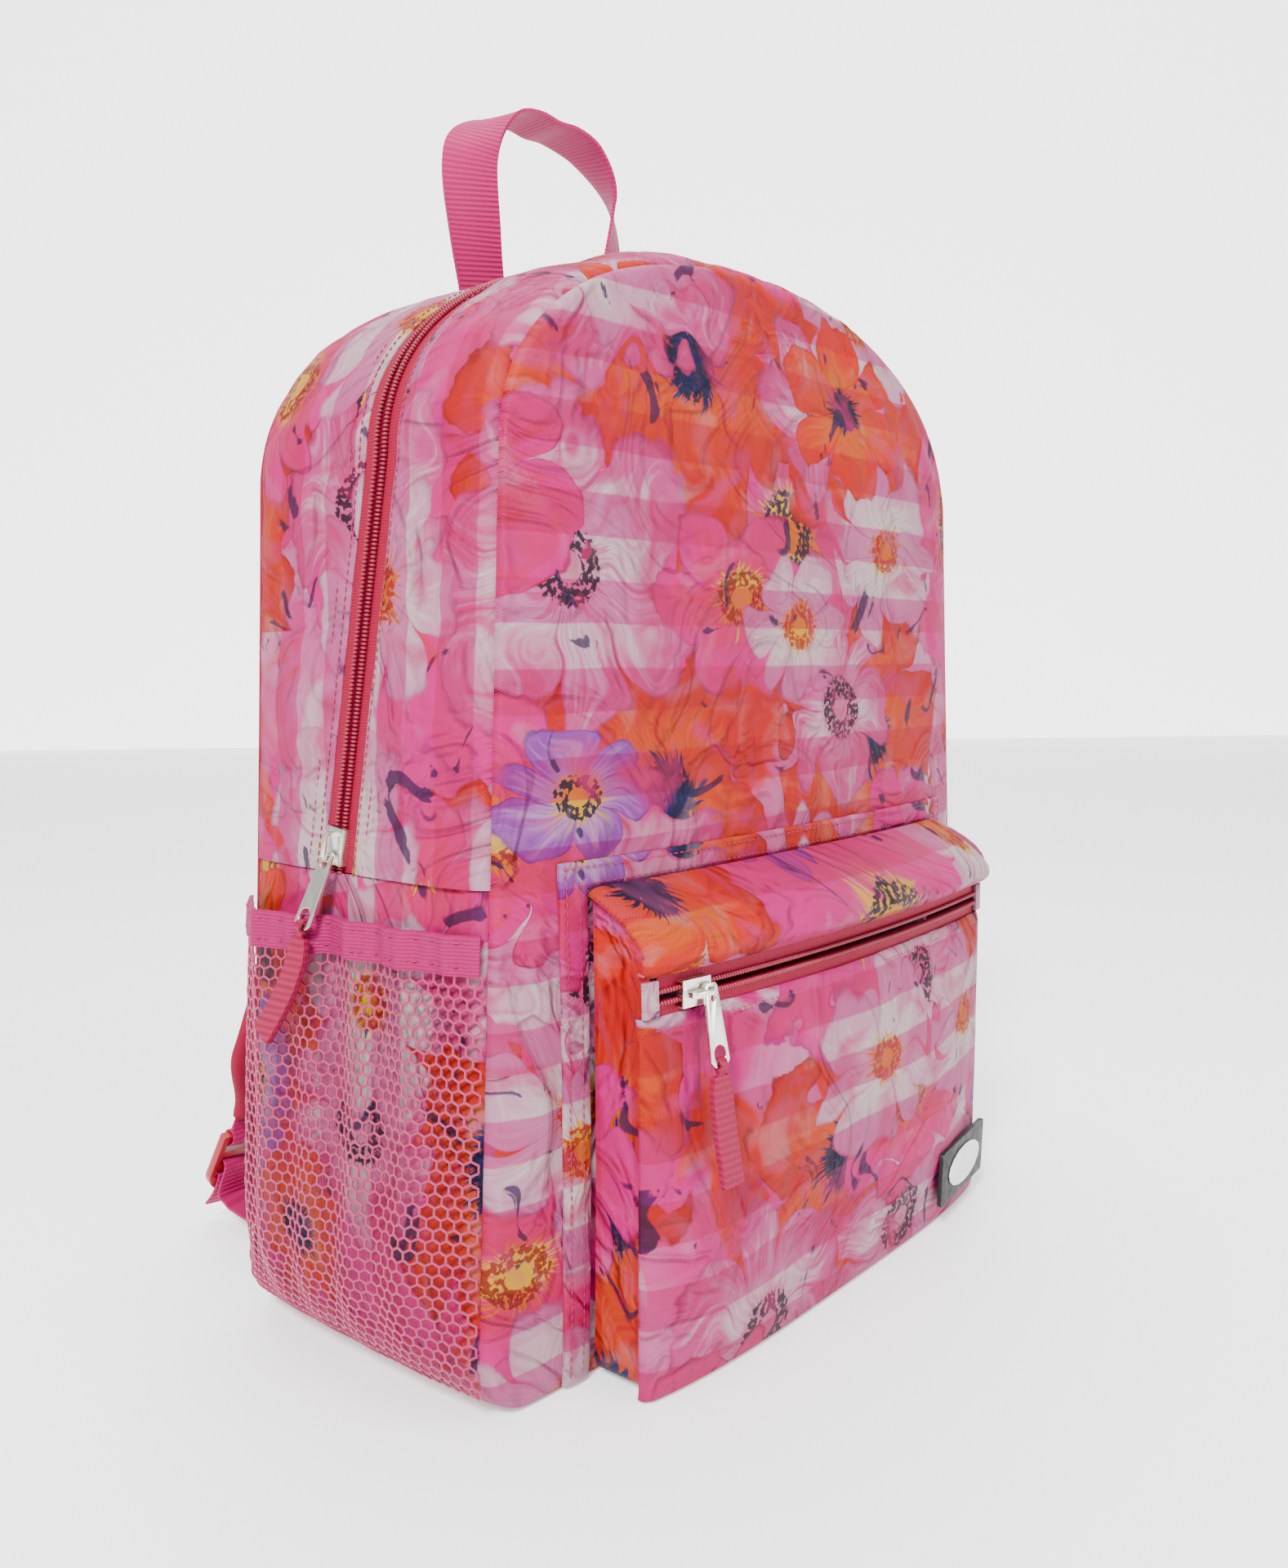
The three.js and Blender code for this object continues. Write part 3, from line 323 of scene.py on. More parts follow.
def print_material():
    """Flower-printed oxford polyester: watercolour blooms under see-through magenta stripes."""
    material, t, shader = surface("flower_print", 0.62, gloss=0.16)
    uv = add(t, "ShaderNodeUVMap", uv_map="cloth")
    drift = add(t, NOISE, {"Vector": uv, "Scale": 7.0, "Detail": 3.0, "Distortion": 0.5}, **FLAT)
    wash = add(t, NOISE, {"Vector": uv, "Scale": 12.0, "Detail": 5.0, "Distortion": 1.0}, **FLAT)
    fade = add(t, NOISE, {"Vector": uv, "Scale": 38.0, "Detail": 5.0, "Distortion": 0.6}, **FLAT)
    base = add(t, MIX, [add(t, RANGE, [drift, 0.33, 0.47, 0.0, 1.0]), linear("f9b4d6"), linear(HOT_PINK)])
    base = add(t, MIX, [add(t, RANGE, [wash, 0.52, 0.58, 0.0, 1.0]), base, linear(ORANGE)])
    base = add(t, MIX, [add(t, RANGE, [wash, 0.60, 0.64, 0.0, 0.9]), base, linear(POPPY)])
    base = add(t, MIX, [add(t, RANGE, [wash, 0.37, 0.33, 0.0, 0.9]), base, linear("fbd9e6")])
    group = flower_group()
    kinds = (
        (0.170, 0.080, 6, 0.95, 0.3, "f45aa8", HOT_PINK, MAGENTA, YELLOW, NAVY),
        (0.138, 0.064, 5, 0.80, 5.7, "ff8a28", POPPY, "b3122f", "3a3a8c", NAVY),
        (0.128, 0.058, 6, 0.72, 9.1, "fff4f8", "f576b8", "c8288f", "f7a6c6", "2c2450"),
        (0.115, 0.046, 6, 0.62, 2.6, "f9406a", HOT_PINK, "b8145a", YELLOW, "c24a1c"),
        (0.104, 0.040, 7, 0.42, 7.4, "fff6ee", "f7c3da", "d0559b", YELLOW, "e0611f"),
        (0.150, 0.036, 6, 0.60, 3.9, "f6a13c", ORANGE, "c9302a", "2f2f7c", NAVY),
        (0.190, 0.034, 6, 0.50, 1.9, "f3c9e4", LILAC, "8b3f96", YELLOW, NAVY),
    )
    for cell, radius, petals, share, shift, *colours in kinds:
        shades = dict(zip(("Inner", "Outer", "Edge", "Heart", "Stamen"), map(linear, colours)))
        numbers = {"Cell": cell, "Radius": radius, "Petals": petals, "Share": share}
        bloom = t.nodes.new("ShaderNodeGroup")
        bloom.node_tree = group
        for key, value in {**numbers, **shades}.items():
            bloom.inputs[key].default_value = value
        bloom.inputs["Shift"].default_value = shift
        t.links.new(uv, bloom.inputs["Place"])
        t.links.new(base, bloom.inputs["Under"])
        base = bloom.outputs["Color"]
    watery = add(t, RANGE, [fade, 0.56, 0.74, 0.0, 0.25])
    base = add(t, MIX, [watery, base, linear(WATERY_PINK)])
    pooled = add(t, RANGE, [fade, 0.28, 0.46, 0.7, 0.0])
    base = add(t, MIX, [pooled, base, linear(POOLED_PINK)])
    flecks = add(t, NOISE, {"Vector": uv, "Scale": 45.0, "Detail": 5.0, "Distortion": 0.9}, **FLAT)
    ink = add(t, RANGE, [flecks, 0.67, 0.70, 0.0, 0.85])
    base = add(t, MIX, [ink, base, linear(INK)])
    stripes = stripe_mask(t, uv)
    base = add(t, MIX, [stripes, base, STRIPE_INK], blend_type="MULTIPLY")
    checks = weave_bump(t, shader, uv, 1.1 * MM, 0.35)
    # The colour follows the weave's relief: painted shade in the hollows between threads and a little
    # painted highlight on the raised crossings.
    weave_shade = add(t, RANGE, [checks, -1.0, 1.0, 0.90, 1.06])
    base = add(t, MIX, [1.0, base, weave_shade], blend_type="MULTIPLY")
    t.links.new(base, shader.inputs["Base Color"])
    crumple(t, shader, uv)
    return material


def crumple(t, shader, uv):
    """Small soft folds in the cloth, under its weave."""
    warp = add(t, NOISE, {"Vector": uv, "Scale": 16.0, "Detail": 3.0, "Distortion": 1.4}, **FLAT)
    folds = add(t, MATH, [add(t, MATH, [warp, 0.5], operation="SUBTRACT")], operation="ABSOLUTE")
    soft = add(t, RANGE, [folds, 0.0, 0.12, 0.0, 1.0], interpolation_type="SMOOTHSTEP")
    bump = add(t, "ShaderNodeBump", {"Strength": 0.8, "Distance": 2.4 * MM, "Height": soft})
    t.links.new(bump, shader.inputs["Normal"].links[0].from_node.inputs["Normal"])


def stripe_mask(t, uv):
    """Bands 15.5 mm wide across the cloth's second direction, with slightly uneven edges."""
    up = add(t, "ShaderNodeSeparateXYZ", [uv]).node.outputs["Y"]
    waver = add(t, NOISE, {"Vector": uv, "Scale": 30.0, "Detail": 2.0}, **FLAT)
    bands = add(t, MATH, [up, 1 / STRIPE_PERIOD], operation="MULTIPLY")
    bands = add(t, MATH, [waver, 0.05, bands], operation="MULTIPLY_ADD")
    part = add(t, MATH, [bands], operation="FRACT")
    rise = add(t, RANGE, [part, 0.0, 0.02, 0.0, 1.0])
    fall = add(t, RANGE, [part, 0.50, 0.52, 1.0, 0.0])
    mask = add(t, MATH, [rise, fall], operation="MULTIPLY")
    return add(t, MATH, [mask, STRIPE_STRENGTH], operation="MULTIPLY")


def plain_cloth(name, colour, rough=0.72, pitch=0.9 * MM, strength=0.3):
    """Dyed cloth: one colour, worn a little lighter and darker, with its weave, painted shade in the weave's
    hollows and a little painted highlight on its raised crossings.
    """
    material, t, shader = surface(name, rough, gloss=0.16)
    uv = add(t, "ShaderNodeUVMap", uv_map="cloth")
    mottle = add(t, NOISE, {"Vector": uv, "Scale": 40.0, "Detail": 3.0}, **FLAT)
    checks = weave_bump(t, shader, uv, pitch, strength)
    shade = add(t, RANGE, [mottle, 0.3, 0.7, 0.88, 1.06])
    # The colour follows the weave's relief: painted shade in its hollows and a little painted highlight on
    # its raised crossings.
    weave_shade = add(t, RANGE, [checks, -1.0, 1.0, 0.93, 1.05])
    base = add(t, MIX, [1.0, linear(colour), shade], blend_type="MULTIPLY")
    base = add(t, MIX, [1.0, base, weave_shade], blend_type="MULTIPLY")
    t.links.new(base, shader.inputs["Base Color"])
    return material


def ribbed(name, colour, pitch, along="X", rough=0.6, depth=0.3 * MM):
    """Woven tape or elastic: ribs pitch apart along one direction, crossed by finer threads, with painted
    shade in the valleys between ribs and a little painted highlight on their crests.
    """
    material, t, shader = surface(name, rough, gloss=0.2)
    uv = add(t, "ShaderNodeUVMap", uv_map="cloth")
    xyz = add(t, "ShaderNodeSeparateXYZ", [uv]).node.outputs
    other = "Y" if along == "X" else "X"
    ribs = add(t, MATH, [add(t, MATH, [xyz[along], 2 * math.pi / pitch], operation="MULTIPLY")],
               operation="SINE")
    fine = add(t, MATH, [add(t, MATH, [xyz[other], 5 * math.pi / pitch], operation="MULTIPLY")],
               operation="SINE")
    height = add(t, MATH, [fine, 0.35, ribs], operation="MULTIPLY_ADD")
    # The colour follows the ribs' relief: painted shade in the valleys and a little painted highlight on the
    # crests.
    shade = add(t, RANGE, [height, -1.3, 1.3, 0.72, 1.08])
    base = add(t, MIX, [1.0, linear(colour), shade], blend_type="MULTIPLY")
    t.links.new(base, shader.inputs["Base Color"])
    bump = add(t, "ShaderNodeBump", {"Strength": 0.6, "Distance": depth, "Height": height})
    t.links.new(bump, shader.inputs["Normal"])
    return material


def moulded(name, colour, rough, grain=0.0, metallic=0.0, sheen=0.0):
    """Plastic, rubber or plated metal, with faint handling marks in its gloss."""
    material, t, shader = surface(name, rough, metallic=metallic, sheen=sheen)
    place = add(t, "ShaderNodeTexCoord").node.outputs["Object"]
    marks = add(t, NOISE, {"Vector": place, "Scale": 220.0, "Detail": 4.0})
    gloss = add(t, RANGE, [marks, 0.3, 0.7, rough * 0.8, min(1.0, rough * 1.3)])
    t.links.new(gloss, shader.inputs["Roughness"])
    shade = add(t, RANGE, [marks, 0.3, 0.7, 0.92, 1.03])
    own = linear(colour) if isinstance(colour, str) else colour
    base = add(t, MIX, [1.0, own, shade], blend_type="MULTIPLY")
    t.links.new(base, shader.inputs["Base Color"])
    if grain:
        bump = add(t, "ShaderNodeBump", {"Strength": 0.25, "Distance": grain, "Height": marks})
        t.links.new(bump, shader.inputs["Normal"])
    return material


# Oxford polyester, printed: a dull square weave that shows close up, with watercolour blooms.
PRINT = print_material()
# The same cloth's coated inside: paler, a little smoother, unprinted.
REVERSE = plain_cloth("coated_reverse", "f59cc0", rough=0.5)
# Thin polyester lining: flat pink, matt.
LINING = plain_cloth("pink_lining", "e0427f", rough=0.8)
# Plain oxford polyester of the back and straps: a coarser weave, deep pink.
BACKING = plain_cloth("back_cloth", "e02a72", rough=0.78, pitch=1.6 * MM, strength=0.5)
# Woven zip tape: fine ribs across it, crimson.
TAPE = ribbed("zip_tape_weave", CRIMSON, 1.1 * MM, along="X", depth=0.12 * MM)
# Nylon coil: smooth round turns with a soft shine.
COIL = moulded("nylon_coil", "e0406f", 0.38)
# Polyester webbing: bold ribs across it and a slight lustre.
WEB = ribbed("polyester_webbing", WEBBING_PINK, 2.2 * MM, along="X", rough=0.55)
# Narrow pull tape: the same weave, with wider ribs so that they show.
TAG = ribbed("pull_tape_weave", "e93a86", 2.6 * MM, along="X", rough=0.55)
# Ribbed elastic: ribs along its length.
STRETCH = ribbed("ribbed_elastic", ELASTIC_PINK, 1.3 * MM, along="Y", rough=0.6)
# Knitted netting: bright threads that catch a little light at their edges.
NET = moulded("knitted_netting", "f62c9c", 0.5, sheen=0.2)
# Sewing thread: slightly shiny, lighter than the cloth.
THREAD = moulded("sewing_thread", "ee3a98", 0.55)
# Polyethylene foam: off-white and dead matt.
FOAM = moulded("foam", (0.75, 0.72, 0.66, 1.0), 0.9, grain=0.3 * MM)
# Nickel-plated zinc: warm silver with faint handling marks in its shine.
NICKEL = moulded("nickel_plate", (0.80, 0.77, 0.71, 1.0), 0.24, metallic=1.0)
# Moulded acetal: bright and waxy.
BUCKLE = moulded("acetal", "f22f57", 0.32, grain=0.05 * MM)
# Soft moulded rubber: near black, satin.
RUBBER = moulded("soft_rubber", "17161a", 0.55, grain=0.08 * MM)
# The patch's raised rubber: clean white.
RAISED = moulded("white_rubber", (0.72, 0.72, 0.70, 1.0), 0.5)


# ---- The bag's surfaces ----
def ease(t):
    """A smooth step from 0 to 1."""
    t = np.clip(t, 0, 1)
    return t * t * (3 - 2 * t)


def mix(a, b, t):
    return a + (b - a) * t


def side_line(z):
    return WIDTH / 2 - TAPER * z / HEIGHT


def body_half(z):
    """Half the body's width at a height: tapered, arched at the top and rounded at the foot."""
    z = np.asarray(z, float)
    below = np.maximum(0, FOOT - z)
    foot = FOOT - np.sqrt(FOOT**2 - below**2)
    share = np.clip((z - SHOULDER) / (HEIGHT - SHOULDER), 0, 1)
    return side_line(z) * (1 - share**ARCH) ** (1 / ARCH) - foot


def side_bulge(y):
    return SIDE_BULGE * (1 - (y / BACK) ** 4)


def rim(s):
    """The rim from the zip's lower left end, s = -1, over the top to its right end, s = 1."""
    s = np.asarray(s, float)
    t = np.abs(s)
    turn = (1 - np.minimum(t / RIM_ARCH, 1)) * math.pi / 2
    z = mix(SHOULDER, HEIGHT, np.sin(turn) ** (2 / ARCH))
    x = side_line(z) * np.cos(turn) ** (2 / ARCH)
    low = mix(SHOULDER, ZIP_END, (t - RIM_ARCH) / (1 - RIM_ARCH))
    straight = t >= RIM_ARCH
    z = np.where(straight, low, z)
    x = np.where(straight, side_line(low), x)
    return np.stack([np.sign(s) * x, 0 * x, z], -1)


def rim_normal(s):
    step = 0.004
    along = rim(s + step) - rim(s - step)
    along /= np.linalg.norm(along, axis=-1, keepdims=True)
    return np.stack([-along[..., 2], 0 * along[..., 0], along[..., 0]], -1)


def gusset(s, y, sunk=0.0):
    p = rim(s) + rim_normal(s) * (side_bulge(y) - sunk)[..., None]
    p[..., 1] = y
    return p


def zip_y(s):
    t = np.abs(s)
    return np.where(t < RIM_ARCH, ZIP_TOP, mix(ZIP_TOP, ZIP_LOW, (t - RIM_ARCH) / (1 - RIM_ARCH)))


def front_y(x, z):
    across = 1 - np.minimum(1, np.abs(x) / np.maximum(body_half(z), 1e-6)) ** 3
    up = np.sin(np.pi * (0.12 + 0.88 * np.minimum(1, z / HEIGHT))) ** 0.7
    return FRONT - FRONT_BULGE * across * up


def back_y(x, z):
    share = np.minimum(1, np.abs(x) / np.maximum(body_half(z), 1e-6))
    return BACK + BACK_BULGE * (1 - share**2) * np.sin(np.pi * z / (HEIGHT + 0.016))


def waves(a, b, seed, size, count=7):
    """Soft unevenness from -1 to 1 over a cloth, with a and b in metres along it."""
    dice = np.random.RandomState(seed)
    total = np.zeros(np.broadcast(a, b).shape)
    for _ in range(count):
        angle = dice.uniform(0, math.pi)
        length = size * dice.uniform(0.7, 1.6)
        phase = dice.uniform(0, 6.28, 2)
        run = a * math.cos(angle) + b * math.sin(angle)
        cross = b * math.cos(angle) - a * math.sin(angle)
        bend = 0.8 * np.sin(cross * 4 / size + phase[1])
        total += np.sin(run * 2 * math.pi / length + phase[0] + bend)
    return total / count * 1.6


def creases(a, b, seed, size):
    """Sharper folds from 0 to 1: narrow valleys between soft swellings."""
    return np.abs(waves(a, b, seed, size, 4)) ** 0.6


# ---- Meshes ----
def steps(length, spacing, border=0.006):
    """Shares from 0 to 1 along a cloth, closer together at its two borders."""
    count = max(2, round(length / spacing))
    even = np.linspace(0, 1, count + 1)
    near = np.array([0.0006, 0.0014, 0.0025, 0.004]) / length
    near = near[near < border / length]
    return np.unique(np.round(np.concatenate([even, near, 1 - near]), 6))


def normals(p):
    across = np.gradient(p, axis=0)
    along = np.gradient(p, axis=1)
    n = np.cross(across, along)
    return n / np.maximum(np.linalg.norm(n, axis=-1, keepdims=True), 1e-12)


def lay_cloth(mesh, places):
    """The mesh's one UV map, in metres of cloth, from a place for each vertex."""
    layer = mesh.uv_layers.new(name="cloth")
    at = np.zeros(len(mesh.loops), int)
    mesh.loops.foreach_get("vertex_index", at)
    layer.data.foreach_set("uv", np.ascontiguousarray(places, np.float32)[at].ravel())


def as_object(name, points, faces, uv, material, angle=40):
    mesh = bpy.data.meshes.new(name)
    mesh.from_pydata(points.tolist(), [], faces)
    made = placed(name, mesh)
    lay_cloth(mesh, uv)
    mesh.materials.append(material)
    mesh.shade_smooth()
    mesh.set_sharp_from_angle(angle=math.radians(angle))
    return made


def closed_sheet(name, p, uv, material, thickness=CLOTH, out=None, curl=(0, 0, 0, 0)):
    """A thin closed cloth whose outer face is p. out is a direction its outer face looks towards.

    curl is how far its four borders turn inwards: at the start and end of each direction.
    """
    n = normals(p)
    middle = n[n.shape[0] // 2, n.shape[1] // 2]
    if out is not None and middle @ np.array(out) < 0:
        n = -n
    if any(curl):
        p = p - n * curl_depth(p, curl)[..., None]
    rows, columns = p.shape[:2]
    inner = p - n * thickness
    points = np.concatenate([p.reshape(-1, 3), inner.reshape(-1, 3)])
    both = np.concatenate([uv.reshape(-1, 2), uv.reshape(-1, 2)])
    shift = rows * columns
    a = (np.arange(rows - 1)[:, None] * columns + np.arange(columns - 1)).ravel()
    quads = np.stack([a, a + columns, a + columns + 1, a + 1], 1)
    faces = [*quads.tolist(), *(quads[:, ::-1] + shift).tolist()]
    top = [i * columns for i in range(rows)]
    ring = [*range(columns), *[i + columns - 1 for i in top[1:]]]
    ring += [*range(shift - 2, shift - columns - 1, -1), *top[-2:0:-1]]
    for i, j in zip(ring, ring[1:] + ring[:1]):
        faces.append([j, i, i + shift, j + shift])
    made = as_object(name, points, faces, both, material)
    if material is PRINT:
        made.data.materials.append(REVERSE)
        sides = np.zeros(len(faces), np.int32)
        sides[len(quads) : 2 * len(quads)] = 1
        made.data.polygons.foreach_set("material_index", sides)
    face_out(made)
    return made


def face_out(made):
    mesh = made.data
    volume = 0.0
    mesh.calc_loop_triangles()
    for tri in mesh.loop_triangles:
        a, b, c = (mesh.vertices[i].co for i in tri.vertices)
        volume += a.dot(b.cross(c))
    if volume < 0:
        mesh.flip_normals()


def curl_depth(p, curl, reach=0.0058):
    total = np.zeros(p.shape[:2])
    for axis in (0, 1):
        gaps = np.linalg.norm(np.diff(p, axis=axis), axis=-1)
        zero = np.zeros_like(np.take(gaps, [0], axis))
        run = np.concatenate([zero, np.cumsum(gaps, axis)], axis)
        back = np.take(run, [-1], axis) - run
        for depth, far in ((curl[2 * axis], run), (curl[2 * axis + 1], back)):
            t = np.clip(1 - far / reach, 0, 1)
            total += depth * (1 - np.sqrt(1 - 0.98 * t**2))
    return total


def grid(u, v):
    return np.meshgrid(u, v, indexing="ij")


def finish(made, body, slot, *nodes, blended=None):
    """The piece moves with its body, or stays fixed where it is when blended, and stands for its solids;
    slot is not used.
    """
    if nodes:
        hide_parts(*nodes)
    if blended:
        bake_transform(made)
    else:
        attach(made, body)
    return made


FLAP = ("bag", "front_flap", (0, FRONT, 0.192), (0, FRONT, 0.270))


# ---- Things that repeat: stitches, zip teeth and netting ----
def beads_group():
    """Small rounded pieces at a pitch along every line of the input."""
    t, g = node_group("BeadsAlongLines", "GeometryNodeTree", "Geometry", Geometry="Geometry",
                      Pitch=STITCH_PITCH, Length=STITCH_LENGTH, Width=STITCH_WIDTH, Material="Material")
    lines = add(t, "GeometryNodeMeshToCurve", {"Mesh": g["Geometry"]})
    points = add(t, "GeometryNodeCurveToPoints", {"Curve": lines, "Length": g["Pitch"]}, mode="LENGTH")
    ball = add(t, "GeometryNodeMeshUVSphere", {"Segments": 8, "Rings": 6, "Radius": 0.5})
    scale = add(t, "ShaderNodeCombineXYZ", [g["Width"], g["Width"], g["Length"]])
    turn = points.node.outputs["Rotation"]
    made = add(t, "GeometryNodeInstanceOnPoints",
               {"Points": points, "Instance": ball, "Rotation": turn, "Scale": scale})
    real = add(t, "GeometryNodeRealizeInstances", {"Geometry": made})
    smooth = add(t, "GeometryNodeSetShadeSmooth", {"Geometry": real})
    painted = add(t, "GeometryNodeSetMaterial", {"Geometry": smooth, "Material": g["Material"]})
    t.links.new(painted, t.nodes.new("NodeGroupOutput").inputs["Geometry"])
    return t


def cords_group():
    """Round threads of one thickness along every edge of the input."""
    t, g = node_group("ThreadsAlongEdges", "GeometryNodeTree", "Geometry", Geometry="Geometry",
                      Radius=NET_THREAD, Material="Material")
    lines = add(t, "GeometryNodeMeshToCurve", {"Mesh": g["Geometry"]})
    ring = add(t, "GeometryNodeCurvePrimitiveCircle", {"Resolution": 5, "Radius": g["Radius"]})
    tubes = add(t, "GeometryNodeCurveToMesh", {"Curve": lines, "Profile Curve": ring, "Fill Caps": True})
    smooth = add(t, "GeometryNodeSetShadeSmooth", {"Geometry": tubes})
    real = add(t, "GeometryNodeRealizeInstances", {"Geometry": smooth})
    painted = add(t, "GeometryNodeSetMaterial", {"Geometry": real, "Material": g["Material"]})
    t.links.new(painted, t.nodes.new("NodeGroupOutput").inputs["Geometry"])
    return t


def grown(name, lines, edges, group, material, **values):
    """The mesh that a node group makes from lines, with its named inputs given."""
    mesh = bpy.data.meshes.new(name)
    mesh.from_pydata(np.asarray(lines).tolist(), edges, [])
    made = placed(name, mesh)
    modifier = made.modifiers.new("grow", "NODES")
    modifier.node_group = group
    sockets = {s.name: s.identifier for s in group.interface.items_tree if s.in_out == "INPUT"}
    for key, value in {**values, "Material": material}.items():
        modifier[sockets[key]] = value
    evaluated = made.evaluated_get(bpy.context.evaluated_depsgraph_get())
    result = bpy.data.meshes.new_from_object(evaluated)
    made.modifiers.clear()
    made.data = result
    return made


BEADS = beads_group()
THREADS = cords_group()


def polyline_edges(*counts):
    edges = []
    start = 0
    for n in counts:
        edges += [(start + i, start + i + 1) for i in range(n - 1)]
        start += n
    return edges


def stitches(name, *lines, pitch=STITCH_PITCH):
    edges = polyline_edges(*[len(line) for line in lines])
    return grown(name, np.concatenate(lines), edges, BEADS, THREAD, Pitch=pitch, Length=STITCH_LENGTH,
                 Width=STITCH_WIDTH)


# ---- Body panels ----
def outline_grid(spacing):
    """Places (x, z) over a body panel, with the grid's borders on its outline."""
    u = steps(2 * side_line(0.2), spacing)
    v = steps(HEIGHT, spacing)
    a, b = grid(u, v)
    low = 0.0005

    def bottom(t):
        return np.stack([(2 * t - 1) * body_half(low), 0 * t + low], -1)

    def top(t):
        turn = t * math.pi
        z = mix(SHOULDER, HEIGHT, np.abs(np.sin(turn)) ** (2 / ARCH))
        c = np.cos(turn)
        return np.stack([-side_line(z) * np.sign(c) * np.abs(c) ** (2 / ARCH), z], -1)

    def side(t, way):
        z = mix(low, SHOULDER, t)
        return np.stack([way * body_half(z), z], -1)

    near, far = side(b, -1), side(b, 1)
    under, over = bottom(a), top(a)
    ends = [bottom(np.array(0.0)), bottom(np.array(1.0)), top(np.array(0.0)), top(np.array(1.0))]
    a, b = a[..., None], b[..., None]
    corner = (1 - a) * (1 - b) * ends[0] + a * (1 - b) * ends[1] + (1 - a) * b * ends[2] + a * b * ends[3]
    place = (1 - b) * under + b * over + (1 - a) * near + a * far - corner
    return place[..., 0], place[..., 1]


def edge_distance(x, z):
    """Roughly how far a point of a body panel is from the panel's seam."""
    sides = body_half(np.minimum(z, HEIGHT - 0.001)) - np.abs(x)
    return np.maximum(0, np.minimum(np.minimum(sides, HEIGHT - z), z))


def gathers(run, distance, seed, pitch, reach):
    """Small puckers along a seam, from -1 to 1, dying out away from it."""
    ripple = np.sin(run * 2 * math.pi / pitch + 2.5 * waves(run, 0 * run, seed, pitch * 5, 3))
    return ripple * np.exp(-distance / reach) * (0.6 + 0.4 * waves(run, distance, seed + 1, pitch * 4, 3))


def front_panel():
    x, z = outline_grid(0.0038)
    free = ease(np.maximum(np.abs(x) - 0.136, z - 0.190) / 0.02)
    far = edge_distance(x, z)
    folds = 2.4 * waves(x, z, 3, 0.12) + 1.6 * creases(x * 0.8, z, 5, 0.075)
    folds += 0.45 * waves(x, z, 8, 0.024) + 1.2 * gathers(x + z, far, 11, 0.019, 0.02)
    folds += 0.8 * gathers(x, np.abs(z - 0.195), 15, 0.021, 0.018)
    y = front_y(x, z) - 0.0004 * free - MM * folds * free * ease(far / 0.02)
    p = np.stack([x, y, z], -1)
    made = closed_sheet("front_panel", p, np.stack([x, z], -1), PRINT, out=(0, -1, 0),
                        curl=(SEAM_CURL, SEAM_CURL, 0.001, SEAM_CURL))
    finish(made, None, "print_cloth", "front_panel_lower", "front_panel_upper", blended=FLAP)


def back_panel():
    x, z = outline_grid(0.0042)
    far = edge_distance(x, z)
    lines = np.abs(np.sin(math.pi * (np.abs(x) - 0.02 * np.sin(z * 14)) / 0.105)) ** 0.5
    rows = np.abs(np.sin(math.pi * (z - 0.03) / 0.125)) ** 0.4
    pad = ease(far / 0.03) * np.minimum(lines, rows)
    flat = np.maximum(ease((0.03 - far) / 0.01), ease((z - 0.372) / 0.008))
    y = back_y(x, z) + 0.0060 * pad * (1 - flat) + 0.0004 * (1 - flat) * waves(x, z, 21, 0.05)
    p = np.stack([x, y, z], -1)
    made = closed_sheet("back_panel_shown", p, np.stack([x, z], -1), BACKING, out=(0, 1, 0),
                        curl=(0.002, 0.002, 0.001, 0.002))
    finish(made, "bag", "plain_cloth", "back_panel")


def rim_steps(spacing, ends=1.0):
    """Rim positions at even distances along it, with those distances."""
    s = np.linspace(-ends, ends, 3000)
    run = np.concatenate([[0], np.cumsum(np.linalg.norm(np.diff(rim(s), axis=0), axis=1))])
    wanted = steps(run[-1], spacing) * run[-1]
    return np.interp(wanted, run, s), wanted - run[-1] / 2


def rim_strip(y_from, y_to, spacing, across, sunk=0.0, ends=1.0):
    """A strip of the gusset between two depths; returns its points, cloth places and grids."""
    s, run = rim_steps(spacing, ends)
    v = steps(0.06, across) if across else np.linspace(0, 1, 3)
    a, b = grid(s, v)
    length, _ = grid(run, v)
    y = mix(y_from(a), y_to(a), b)
    return gusset(a, y, sunk), np.stack([length, y], -1), a, length, y


def gusset_folds(length, y, start, end, seed):
    far = np.minimum(np.abs(y - start), np.abs(y - end))
    folds = 1.7 * waves(length * 1.4, y * 0.6, seed, 0.07)
    folds += 1.5 * creases(length * 1.6, y * 0.5, seed + 2, 0.06)
    folds += 1.5 * gathers(length, np.abs(y - start), seed + 4, 0.022, 0.022)
    folds += 0.9 * gathers(length, np.abs(y - end), seed + 6, 0.017, 0.014)
    return MM * folds * ease(far / 0.014) + 0.0003 * waves(length, y, seed + 8, 0.02)


def push(p, amount):
    n = normals(p)
    middle = n[n.shape[0] // 2, n.shape[1] // 2]
    away = 1 if middle[2] > 0 else -1
    return p + n * away * amount[..., None]


def band(name, y_from, y_to, seed, curl, node, body=None, blended=None):
    p, uv, _, length, y = rim_strip(y_from, y_to, 0.004, 0.0045)
    start, end = y[:, :1], y[:, -1:]
    beside_handle = 1 - np.exp(-(((y - HANDLE_Y) / 0.03) ** 2) - (length / 0.07) ** 4)
    p = push(p, gusset_folds(length, y, start, end, seed) * beside_handle)
    made = closed_sheet(name, p, uv, PRINT, out=(0, 0, 1), curl=(0, 0, *curl))
    finish(made, body, "print_cloth", node, blended=blended)


def bands():
    edge = EDGE + 0.001
    band("front_gusset", lambda s: 0 * s - edge, lambda s: zip_y(s) - LIPS, 31,
         (SEAM_CURL, FRAYED_CURL), "front_band", blended=FLAP)
    band("rear_gusset", lambda s: zip_y(s) + LIPS, lambda s: 0 * s + edge, 47,
         (FRAYED_CURL, SEAM_CURL), "rear_band", body="bag")


